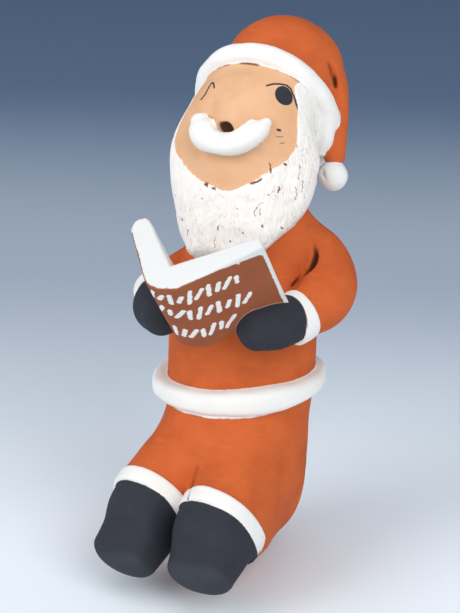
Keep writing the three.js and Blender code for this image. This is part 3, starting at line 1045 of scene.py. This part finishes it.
def dabs():
    """Start and end of each short slanted dab on the cover."""
    strokes = []
    for row, (start, end, count) in enumerate(DAB_ROWS):
        for i in range(count):
            at = np.array(start) + (np.array(end) - start) * i / (count - 1)
            length = DAB_LENGTHS[(2 * row + i) % len(DAB_LENGTHS)]
            tilt = math.radians(DAB_TILTS[(3 * row + i) % len(DAB_TILTS)])
            half = np.array((math.cos(tilt), math.sin(tilt))) * length / 2
            strokes.append(((at - half, at + half), DAB_RADIUS))
    return strokes


# Fine painted lines of the face on its map: points of each line and its half width.
FACE_LINES = (
    (((8.7, 10.4), (10.4, 11.6), (12.3, 12.3), (14.4, 12.7), (16.2, 12)), 0.33),
    (((16.2, 12), (18.2, 9.6), (20.7, 5.3)), 0.27),
    (((-15.4, 4.3), (-13.9, 6.1), (-12.9, 8.9), (-12.3, 10.4), (-11.2, 10), (-10.2, 8.2)), 0.36),
    (((15.9, -3.9), (16.5, -3.9)), 0.42),
    (((15.8, -6.3), (17.6, -5.8)), 0.1),
    (((17.1, -8.2), (18.2, -7.6)), 0.1),
)
# The eye's oval on the same map: its middle, half its width and height, and its turn in degrees.
EYE = ((15, 8.7), (2.75, 3.65), -36)
# A faint, greyer darkening across the forehead just under the brim: its points on the face map and half
# width.
FOREHEAD_DARKENING = (
    (((-3.5, 13.2), (1.5, 13.4)), 0.6),
)

# Bare clay along the beard's edge and in a crease beside the moustache, on the same map.
FACE_CRACKS = (
    (((14.4, -15.4), (14.3, -17.6)), 0.22),
    (((18.3, -14), (18.7, -13.9)), 0.3),
    (((8, -21.7), (9.7, -20.8), (11.5, -19.7)), 0.24),
    (((-5.4, -23.3), (-4.2, -23.7)), 0.2),
    (((-8, -22.5), (-7, -22.9)), 0.2),
    (((-10.5, -1.8), (-8.8, -2.7), (-5.6, -3.9)), 0.08),
)

# The middle of the crumbly seam where brim, tail and pompom meet.
TAIL_SEAM = (20.8, 18, 124)

# Cracks and ticks of bare clay down the front of the beard: places across and up, in millimetres.
BEARD_CRACKS = (
    (((-8.2, 115.1), (-8.1, 114.7)), 0.22),
    (((15.6, 120.3), (15.5, 118.6)), 0.16),
    (((12.9, 118.2), (12.5, 117.9)), 0.12),
    (((11.4, 115.6), (9.9, 114.9), (9.2, 113.3), (9.4, 111.5)), 0.1),
    (((10.8, 113.6), (10.9, 112.1)), 0.14),
    (((3.6, 113.7), (4, 113.6)), 0.14),
    (((11.8, 108.9), (12, 108.6)), 0.22),
    (((16.7, 108.2), (16.9, 107.7)), 0.26),
    (((-16.1, 107.2), (-15.9, 106.8)), 0.2),
    (((2.4, 103.6), (2.9, 103.4)), 0.2),
    (((6.1, 106.4), (6.5, 106.1)), 0.14),
    (((-2.9, 104.4), (-2.7, 102.6), (-2.3, 101.2)), 0.12),
    (((-1.7, 108), (-1.6, 106.2)), 0.12),
    (((-13.2, 104.6), (-13.1, 102.9)), 0.16),
    (((21.5, 121.9), (21.7, 120.2), (21.2, 118.4)), 0.1),
    (((20, 120.2), (20.3, 118.2), (19.8, 116.2)), 0.1),
    (((20.4, 127.1), (20.9, 124.9), (20.4, 122.7)), 0.08),
)

# Where bare clay shows between the brim and the forehead.
BRIM_GAPS = (
    (((-17, 10.4), (-15.5, 11.4), (-13.9, 12.9)), 0.9),
    (((-14.1, 14.4), (-11.6, 15.8), (-8.2, 16.6)), 1.2),
    (((-2.5, 16.6), (2.5, 16.6)), 1.0),
    (((10, 15), (13.8, 15.2), (16.5, 15)), 1.2),
)


# Where the beard's slip is worn through: between these heights, and this far to the figure's left.
WORN_HEIGHTS = (108, 122)
WORN_LEFT = (8, 17)
# Painted highlight on the toes: the boots' slip grows lighter from the first to the second distance along
# this way.
TOE_WAY = (0, -1, -0.6)
TOE_REACH = (39.5, 42.5)
# The painted shade in hollows, creases, cracks and holes, as shares of the slip's colour there.
HOLLOW_SHADE_SHARES = (0.09, 0.055, 0.04, 1.0)
BUMP_HEIGHT = 0.12


class Paint(Tree):
    """The figure's material while it is built: its maps, its marks and the slips laid on it."""

    def __init__(self, tree):
        super().__init__(tree)
        self.at = self.grow(self.node("TexCoord").outputs["Object"], 1 / METRES)
        self.book_place = self.place("book_map")
        self.face_place = self.place("face_map")
        self.marks = self.group(MARKS, {"Place": self.at})

    def slip(self, colour, cloud, streak, speck, clouds=0.5, streaks=0.4, specks=0.3):
        return self.group(SLIP, {
            "Cloud": self.marks["Cloud"], "Streak": self.marks["Streak"], "Grain": self.marks["Grain"],
            "Colour": colour, "Cloud Colour": tint(colour, *cloud),
            "Streak Colour": tint(colour, *streak), "Speck Colour": tint(colour, *speck),
            "Clouds": clouds, "Streaks": streaks, "Specks": specks,
        })["Colour"]

    def area(self, name, waviness=0.3, wave=0.6, softness=0.12):
        return self.group(EDGE, {
            "Place": self.at, "Margin": self.value(name), "Waviness": waviness, "Wave": wave,
            "Softness": softness,
        })["Mask"]

    def strokes(self, on, lines, softness=0.14):
        mask = 0.0
        for points, radius in lines:
            for a, b in zip(points, points[1:]):
                mask = self.group(STROKE, {
                    "Map": on, "Start": (*a, 0), "End": (*b, 0), "Radius": radius,
                    "Softness": softness, "Before": mask,
                })["Mask"]
        return mask

    def along(self, way):
        """How far each place lies along a way, in millimetres."""
        return self.vector("DOT_PRODUCT", self.at, way, "Value")

    def shake(self, scale, much):
        """A wandering shift across a map."""
        noise = self.node("TexNoise", {"Vector": self.at, "Scale": scale, "Detail": 2.0}).outputs["Color"]
        return self.grow(self.vector("SUBTRACT", noise, (0.5, 0.5, 0.5)), much)

    def ridges(self, scale, squash, detail, distortion, width):
        """Thin wandering lines that run down the beard."""
        stretched = self.vector("MULTIPLY", self.at, (1.0, 1.0, squash))
        noise = self.noise(stretched, scale, detail, 0.6, distortion)
        return self.spread(self.math("ABSOLUTE", self.math("SUBTRACT", noise, 0.5)), 0.0, width, 1.0, 0.0)


def beard_marks(tree):
    """Scratches, cracks and ticks of the beard, worn through low down and on its left side."""
    height = tree.node("SeparateXYZ", {"Vector": tree.at}).outputs["Z"]
    low = tree.spread(height, *WORN_HEIGHTS, 1.0, 0.15)
    worn = tree.most(low, tree.spread(tree.along((1, 0, 0)), *WORN_LEFT))
    scratches = tree.times(tree.ridges(0.85, 0.14, 2.0, 0.6, 0.03), worn)
    patches = tree.spread(tree.noise(tree.at, 0.14, 2.0), 0.46, 0.6)
    cracks = tree.times(tree.ridges(0.32, 0.3, 4.0, 0.8, 0.009), tree.times(worn, patches))
    squashed = tree.vector("MULTIPLY", tree.at, (1.0, 1.0, 0.4))
    ticks = tree.spread(tree.noise(squashed, 0.9, 2.0, 0.5, 0.2), 0.71, 0.735)
    return scratches, cracks, tree.times(ticks, worn)


def hair_colour(tree, cream, bare, marks):
    """The cream slip of the beard with its marks."""
    scratches, cracks, ticks = marks
    hair = tree.slip(cream, (0.98, 0.94, 0.89), (0.97, 0.93, 0.88), (0.9, 0.82, 0.72))
    hair = tree.mix(tree.times(scratches, 0.3), hair, tint(cream, 0.74, 0.64, 0.54))
    hair = tree.mix(tree.times(cracks, 0.7), hair, tint(cream, 0.42, 0.33, 0.26))
    return tree.mix(tree.times(ticks, 0.65), hair, bare)


def face_colour(tree, skin):
    """The peach slip of the face, darkened faintly toward grey across the forehead just under the brim."""
    forehead_darkening = tree.times(tree.strokes(tree.face_place, FOREHEAD_DARKENING, 2.5), 0.3)
    face = tree.slip(skin, (0.9, 0.85, 0.8), (1.03, 1.03, 1.06), (0.8, 0.72, 0.64), 0.8, 0.5, 0.5)
    return tree.mix(forehead_darkening, face, tint(skin, 0.55, 0.58, 0.62))


def face_ink(tree):
    """The mask of the dark lines and the eye."""
    lines = tree.strokes(tree.face_place, FACE_LINES)
    (cx, cy), (rx, ry), turn = EYE
    turned_place = tree.node("VectorRotate", {
        "Vector": tree.face_place, "Center": (cx, cy, 0), "Angle": math.radians(turn),
    }, rotation_type="Z_AXIS").outputs[0]
    oval = tree.vector("DIVIDE", tree.vector("SUBTRACT", turned_place, (cx, cy, 0)), (rx, ry, 1))
    eye = tree.spread(tree.vector("LENGTH", oval, output="Value"), 0.96, 1.04, 1.0, 0.0)
    return tree.most(lines, eye)


def dabbed(tree, cover_mask):
    """The mask of the dabs of light slip on the cover."""
    shaky = tree.vector("ADD", tree.book_place, tree.shake(0.8, 0.9))
    shaky = tree.vector("MULTIPLY", shaky, (1, 1, 0))
    return tree.times(tree.strokes(shaky, dabs(), 0.16), cover_mask)


def bare_seams(tree, black_mask):
    """The mask of bare clay along the seams between forms."""
    seam = tree.spread(tree.value("seam"), 0.0, 0.6, 1.0, 0.0)
    broken = tree.spread(tree.noise(tree.at, 0.5, 2.0), 0.5, 0.66, 0.0, 0.35)
    gaps = tree.most(tree.strokes(tree.face_place, BRIM_GAPS, 0.5), broken)
    from_tail = tree.vector("DISTANCE", tree.at, TAIL_SEAM, "Value")
    gaps = tree.most(gaps, tree.spread(from_tail, 2.5, 5.0, 1.0, 0.0))
    return tree.times(tree.times(seam, gaps), tree.math("SUBTRACT", 1.0, black_mask))


def bare_cracks(tree, head_mask):
    """The mask of bare clay in the cracks round the face and down the beard."""
    front = tree.node("SeparateXYZ", {"Vector": tree.at}).outputs
    front_place = tree.node("CombineXYZ", {"X": front["X"], "Y": front["Z"]}).outputs[0]
    tremble = tree.vector("MULTIPLY", tree.shake(0.9, 1.6), (1, 1, 0))
    front_place = tree.vector("ADD", front_place, tremble)
    on_face = tree.vector("ADD", tree.face_place, tree.grow(tremble, 0.6))
    face_cracks = tree.strokes(on_face, FACE_CRACKS)
    on_front = tree.spread(front["Y"], 3, 6, 1.0, 0.0)
    beard_lines = tree.times(tree.strokes(front_place, BEARD_CRACKS), on_front)
    return tree.times(tree.most(face_cracks, beard_lines), head_mask)


def painted_clay(colours):
    """One material for the whole figure: each slip where its brush put it."""
    material = bpy.data.materials.new("slip painted clay")
    material.use_nodes = True
    material.node_tree.nodes.clear()
    tree = Paint(material.node_tree)
    red, white, cream, black, skin, brown, bare = (
        (*getattr(colours, name), 1.0)
        for name in ("suit", "trim", "beard", "boots", "face", "cover", "bare_clay")
    )

    colour = tree.slip(red, (0.8, 0.72, 0.7), (1.1, 1.3, 1.4), (0.75, 0.65, 0.65), 0.7, 0.5, 0.4)
    trim = tree.slip(white, (0.99, 0.95, 0.92), (1, 0.97, 0.95), (0.95, 0.9, 0.86))
    colour = tree.mix(tree.area("trim", 0.25, 0.4), colour, trim)
    black_mask = tree.area("black", 0.25, 0.4)
    dark_slip = tree.slip(black, (1.3, 1.3, 1.25), (0.85, 0.85, 0.88), (1.9, 1.9, 1.9), 0.5, 0.15)
    # Painted highlight: the boots' slip is lightened toward the toes' front faces.
    toe_highlight = tree.times(tree.spread(tree.along(TOE_WAY), *TOE_REACH), 0.55)
    dark_slip = tree.mix(toe_highlight, dark_slip, tint(black, 1.75, 1.8, 1.7))
    colour = tree.mix(black_mask, colour, dark_slip)

    head_mask = tree.area("head", 0.2, 0.5)
    marks = beard_marks(tree)
    colour = tree.mix(head_mask, colour, hair_colour(tree, cream, bare, marks))
    face_mask = tree.times(tree.area("face", 0.45, 0.6, 0.1), head_mask)
    colour = tree.mix(face_mask, colour, face_colour(tree, skin))
    colour = tree.mix(tree.times(face_ink(tree), face_mask), colour, black)

    book_mask = tree.area("book", 0.15, 0.6)
    paper = tint(white, 0.86, 0.87, 0.88)
    pages = tree.slip(paper, (0.98, 0.98, 1), (0.98, 0.96, 0.95), (0.96, 0.94, 0.93))
    colour = tree.mix(book_mask, colour, pages)
    cover_mask = tree.times(tree.area("cover", 0.5, 0.45), book_mask)
    cover = tree.slip(brown, (0.85, 0.82, 0.8), (1.12, 1.15, 1.18), (0.75, 0.7, 0.7))
    colour = tree.mix(cover_mask, colour, cover)
    writing = dabbed(tree, cover_mask)
    colour = tree.mix(writing, colour, white)

    bared = tree.most(bare_seams(tree, black_mask), bare_cracks(tree, head_mask))
    colour = tree.mix(bared, colour, bare)
    # Painted shade: the colour is darkened in hollows, creases, cracks and holes by how deep they go.
    dark = tree.mix(1.0, colour, HOLLOW_SHADE_SHARES, "MULTIPLY")
    colour = tree.mix(tree.spread(tree.value("hollow"), 0.0, 1.0), colour, dark)

    scratches, cracks, ticks = marks
    scored = tree.most(scratches, tree.most(cracks, ticks))
    beard_mask = tree.times(head_mask, tree.math("SUBTRACT", 1.0, face_mask))
    height = tree.math("ADD", tree.times(tree.marks["Grain"], 0.5), tree.times(tree.marks["Streak"], 0.45))
    bump = tree.math("ADD", height, tree.times(tree.times(scored, beard_mask), -1.4))
    bump = tree.math("ADD", bump, tree.times(writing, 1.6))
    bump_inputs = {"Height": bump, "Strength": 0.5, "Distance": BUMP_HEIGHT * METRES}
    tree.finish({
        "Base Color": colour, "Roughness": tree.spread(height, 0.3, 0.7, 0.72, 0.9),
        "Normal": tree.node("Bump", bump_inputs).outputs[0], "Metallic": 0.0, "Specular IOR Level": 0.22,
    })
    return material


# Sizes and colours that a user would change

def length(name, about, millimetres):
    return bpy.props.FloatProperty(
        name=name, description=about, default=millimetres * METRES, min=0.0001, unit="LENGTH", precision=4,
    )


def angle(name, about, degrees):
    return bpy.props.FloatProperty(
        name=name, description=about, default=math.radians(degrees), subtype="ANGLE",
    )


def paint(name, about, *levels):
    return bpy.props.FloatVectorProperty(
        name=name, description=about, default=srgb(*levels), size=3, min=0, max=1, subtype="COLOR",
    )


class ClaySizes(bpy.types.PropertyGroup):
    """Sizes of the figure's forms."""
    torso_width: length("Torso width", "Width of the trunk at the waist", 48)
    torso_depth: length("Torso depth", "Depth of the trunk at the waist", 39)
    belt_height: length("Belt height", "Height of the flattened roll round the waist", 8)
    belt_thickness: length("Belt thickness", "Thickness of the roll round the waist", 6.8)
    arm_thickness: length("Arm thickness", "Thickness of each arm", 18)
    mitten_thickness: length("Mitten thickness", "Thickness of each mitten", 16.2)
    leg_width: length("Leg width", "Width of each leg", 27.6)
    boot_length: length("Boot length", "How far each boot reaches past its cuff", 21)
    leg_turn: angle("Leg turn", "Turn of the legs about the upright axis", -9)
    beard_width: length("Beard width", "Width of the beard at the cheeks", 48.4)
    beard_groove: length("Beard groove", "Depth of the scratched strands of the beard", 0.3)
    hat_width: length("Hat width", "Width of the cap's brim at its middle line", 41.4)
    hat_tilt: angle("Hat tilt", "How far the cap leans back", 30)
    brim_thickness: length("Brim thickness", "Thickness of the cap's rolled brim", 7)
    tail_thickness: length("Tail thickness", "Thickness of the cap's tail near its end", 7)
    pompom_size: length("Pompom size", "Width of the ball on the tail", 9.3)
    moustache_thickness: length("Moustache thickness", "Thickness of the moustache roll", 6.8)
    mouth_hole: length("Mouth hole", "Width of the hole over the moustache", 5)
    book_height: length("Book height", "Length of the book along its spine", 33)
    book_lean: angle("Book lean", "How far the book leans away from the reader", 39.8)
    left_page_width: length("Left page width", "From the spine to the edge on the figure's left", 30)
    right_page_width: length("Right page width", "From the spine to the figure's right edge", 24.5)
    page_thickness: length("Page thickness", "Thickness of the pages with their cover", 3.9)


class ClayColours(bpy.types.PropertyGroup):
    """Colours of the slips."""
    suit: paint("Suit", "Terracotta slip of the suit and cap", 203, 97, 46)
    trim: paint("Trim", "White slip of the belt, cuffs, brim and pages", 236, 234, 229)
    beard: paint("Beard", "Cream slip of the beard", 243, 238, 232)
    boots: paint("Boots", "Charcoal slip of the boots and mittens", 46, 48, 55)
    face: paint("Face", "Peach slip of the face", 224, 176, 136)
    cover: paint("Cover", "Brown slip of the book's cover", 152, 86, 56)
    bare_clay: paint("Bare clay", "Clay that shows through in cracks", 122, 72, 40)


# Operators

def in_millimetres(sizes):
    """The sizes by name, as the modelling code takes them: angles stay in radians."""
    found = {}
    for key, prop in sizes.bl_rna.properties.items():
        if key not in ("rna_type", "name"):
            value = getattr(sizes, key)
            found[key] = value / METRES if prop.unit == "LENGTH" else value
    return found


def thinned(context, piece, mesh, count):
    """The piece's mesh brought down to the most triangles it may have. count is its number of squares."""
    thin = piece.modifiers.new("thin", "DECIMATE")
    thin.ratio = min(1.0, MOST_TRIANGLES / (2 * count))
    thin.use_collapse_triangulate = True
    finished = bpy.data.meshes.new_from_object(piece.evaluated_get(context.evaluated_depsgraph_get()))
    piece.modifiers.remove(thin)
    piece.data = finished
    bpy.data.meshes.remove(mesh)
    finished.name = PIECE
    return finished


def keep_paint_maps(mesh, forms):
    """Keeps at each corner of the mesh what the material needs to place its slips."""
    points, _ = corners_of(mesh)
    margins = paint_margins(measure(forms, points))
    on_face = face_map(points)
    margins["face"] = inside_outline(FACE_EDGE, on_face)
    along, up, deep, side = book_map(forms["book"], points)
    top = forms["book"].length - COVER_TOP - COVER_SAG * np.maximum(along, 0) ** 2
    inside = (COVER_DEPTH - deep, top - up, side - COVER_EDGE, up + COVER_FOOT)
    margins["cover"] = np.minimum.reduce(inside)
    for key, values in margins.items():
        kept = mesh.attributes.new(key, "FLOAT", "POINT")
        kept.data.foreach_set("value", values.astype(np.float32))
    for key, flat in (("face_map", on_face), ("book_map", np.stack([along, up], 1))):
        kept = mesh.attributes.new(key, "FLOAT_VECTOR", "POINT")
        spots = np.hstack([flat, np.zeros((len(flat), 1))])
        kept.data.foreach_set("vector", spots.astype(np.float32).ravel())


class CLAY_OT_figure(bpy.types.Operator):
    """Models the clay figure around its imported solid"""
    bl_idname = "clay.figure"
    bl_label = "Clay figure"

    def execute(self, context):
        size = in_millimetres(context.scene.clay_sizes)
        forms = figure_forms(size)
        pitch = PITCH
        low = np.array(CAD_BOX[0]) / METRES - GRID_ROOM
        high = np.array(CAD_BOX[1]) / METRES + GRID_ROOM
        grid = sample(lambda points: clay(measure(forms, points), points), low, high, pitch)
        clear_pinches(grid)
        points, faces = largest_piece(*surface_net(grid, low, pitch))
        mesh = mesh_of(points, faces, PIECE)
        piece = bpy.data.objects.new(PIECE, mesh)
        context.scene.collection.objects.link(piece)

        points, normals = corners_of(mesh)
        margins = paint_margins(measure(forms, points))
        face = inside_outline(FACE_EDGE, face_map(points))
        rise = relief(margins, face, points, size["beard_groove"])
        points += normals * (rise * ramp(0.0, FLAT_FOOT, points[:, 2]))[:, None]
        mesh.vertices.foreach_set("co", points.astype(np.float32).ravel())
        mesh.update()

        finished = thinned(context, piece, mesh, len(faces))
        keep_paint_maps(finished, forms)
        finished.transform(Matrix.Scale(METRES, 4))
        finished.shade_smooth()
        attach(piece, "root")
        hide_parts(NODE)
        return {"FINISHED"}


class CLAY_OT_paint(bpy.types.Operator):
    """Paints the clay figure with its slips"""
    bl_idname = "clay.paint"
    bl_label = "Slip paint"

    def execute(self, context):
        for name, add_group in GROUPS.items():
            if name not in bpy.data.node_groups:
                add_group()
        piece = bpy.data.objects[PIECE]
        piece.data.materials.clear()
        piece.data.materials.append(painted_clay(context.scene.clay_colours))
        return {"FINISHED"}


# The studio: the floor's line from under the figure up the back, its reach to each side, its colour
# near and the painted shade it darkens to far back. Each lamp has a place in metres, a size and a power.
SWEEP = ((0, -3, 0), (0, 1.2, 0), (0, 1.9, 0.12), (0, 2.3, 0.7), (0, 2.35, 3))
FLOOR_REACH = 3
FLOOR_NEAR = srgb(244, 251, 255)
FLOOR_FAR_SHADE = srgb(106, 127, 154)
LAMPS = (
    ("key light", (-0.75, -0.95, 0.72), 1.0, 9.0),
    ("fill light", (0.85, -0.6, 0.8), 1.0, 8.6),
    ("top light", (-0.1, -0.35, 1.3), 1.2, 2.6),
)
LAMP_AIM = Vector((0, 0, 0.08))
SURROUND = srgb(214, 222, 235)
SURROUND_STRENGTH = 0.56


def floor_paper():
    """A floor paper with a faint mottle, and painted shade that darkens it toward the back and up the wall,
    less toward the figure's left.
    """
    material = bpy.data.materials.new("pale floor paper")
    material.use_nodes = True
    material.node_tree.nodes.clear()
    tree = Tree(material.node_tree)
    place = tree.node("TexCoord").outputs["Object"]
    mottle = tree.spread(tree.noise(place, 6.0, 2.0), 0.3, 0.7)
    near = tree.mix(mottle, (*FLOOR_NEAR, 1.0), tint(FLOOR_NEAR, 0.97, 0.97, 0.97))
    # Painted shade: the floor darkens toward the back and up the wall.
    back = tree.vector("DOT_PRODUCT", place, (-0.25, 0.8, 0.6), "Value")
    fall = tree.times(tree.spread(back, -0.005, 0.245), 0.62)
    fall = tree.math("ADD", fall, tree.times(tree.spread(back, 0.25, 0.62), 0.38))
    shade = tree.mix(fall, near, (*FLOOR_FAR_SHADE, 1.0))
    tree.finish({"Base Color": shade, "Roughness": 0.9, "Specular IOR Level": 0.2})
    return material


def add_floor(scene):
    """The pale floor that curves up into a back wall."""
    sweep = smooth_rows(SWEEP, 12)
    corners = [(x, y, z) for _, y, z in sweep for x in (-FLOOR_REACH, FLOOR_REACH)]
    faces = [(i, i + 1, i + 3, i + 2) for i in range(0, len(corners) - 2, 2)]
    mesh = bpy.data.meshes.new("floor")
    mesh.from_pydata(corners, [], faces)
    mesh.shade_smooth()
    mesh.materials.append(floor_paper())
    floor = bpy.data.objects.new("floor", mesh)
    scene.collection.objects.link(floor)


def add_lights(scene):
    """Three round lamps and a soft surround."""
    for name, place, size, power in LAMPS:
        light = bpy.data.lights.new(name, "AREA")
        light.shape, light.size, light.energy = "DISK", size, power
        lamp = bpy.data.objects.new(name, light)
        lamp.location = place
        lamp.rotation_euler = (LAMP_AIM - Vector(place)).to_track_quat("-Z", "Y").to_euler()
        scene.collection.objects.link(lamp)
    world = bpy.data.worlds.new("soft surround")
    world.use_nodes = True
    back = world.node_tree.nodes["Background"]
    back.inputs[0].default_value = (*SURROUND, 1.0)
    back.inputs[1].default_value = SURROUND_STRENGTH
    scene.world = world


def add_camera(scene):
    """The camera that took the photograph."""
    away = math.cos(CAMERA_RISE)
    back = Vector((math.sin(CAMERA_TURN) * away, -math.cos(CAMERA_TURN) * away, math.sin(CAMERA_RISE)))
    view = bpy.data.cameras.new("camera")
    view.sensor_fit = "AUTO"
    view.sensor_width = SENSOR_WIDTH
    view.lens = CAMERA_DISTANCE / PIXEL_SIZE / IMAGE_HEIGHT * view.sensor_width
    view.clip_start, view.clip_end = 0.01, 20
    camera = bpy.data.objects.new("camera", view)
    camera.location = Vector(CAMERA_TARGET) * METRES + back * CAMERA_DISTANCE * METRES
    camera.rotation_mode = "QUATERNION"
    camera.rotation_quaternion = (-back).to_track_quat("-Z", "Y")
    scene.collection.objects.link(camera)
    scene.camera = camera


class CLAY_OT_stage(bpy.types.Operator):
    """Sets the pale floor, the soft studio light and the camera"""
    bl_idname = "clay.stage"
    bl_label = "Studio stage"

    def execute(self, context):
        add_floor(context.scene)
        add_lights(context.scene)
        add_camera(context.scene)
        context.scene.view_settings.view_transform = "Standard"
        return {"FINISHED"}


class CLAY_PT_sidebar(bpy.types.Panel):
    """Sizes, colours and steps of the clay figure"""
    bl_idname = "CLAY_PT_sidebar"
    bl_label = "Clay figure"
    bl_space_type = "VIEW_3D"
    bl_region_type = "UI"
    bl_category = "Clay figure"

    def draw(self, context):
        layout = self.layout
        for group in (context.scene.clay_sizes, context.scene.clay_colours):
            box = layout.box()
            for key in group.bl_rna.properties.keys():
                if key not in ("rna_type", "name"):
                    box.prop(group, key)
        for step in STEPS:
            layout.operator(step.bl_idname)


STEPS = (CLAY_OT_figure, CLAY_OT_paint, CLAY_OT_stage)
CLASSES = (ClaySizes, ClayColours, *STEPS, CLAY_PT_sidebar)


def register():
    for cls in CLASSES:
        bpy.utils.register_class(cls)
    bpy.types.Scene.clay_sizes = bpy.props.PointerProperty(type=ClaySizes)
    bpy.types.Scene.clay_colours = bpy.props.PointerProperty(type=ClayColours)


def unregister():
    del bpy.types.Scene.clay_colours
    del bpy.types.Scene.clay_sizes
    for cls in reversed(CLASSES):
        bpy.utils.unregister_class(cls)


def main():
    register()
    bpy.ops.clay.figure()
    bpy.ops.clay.paint()
    bpy.ops.clay.stage()


if __name__ == "__main__":
    main()
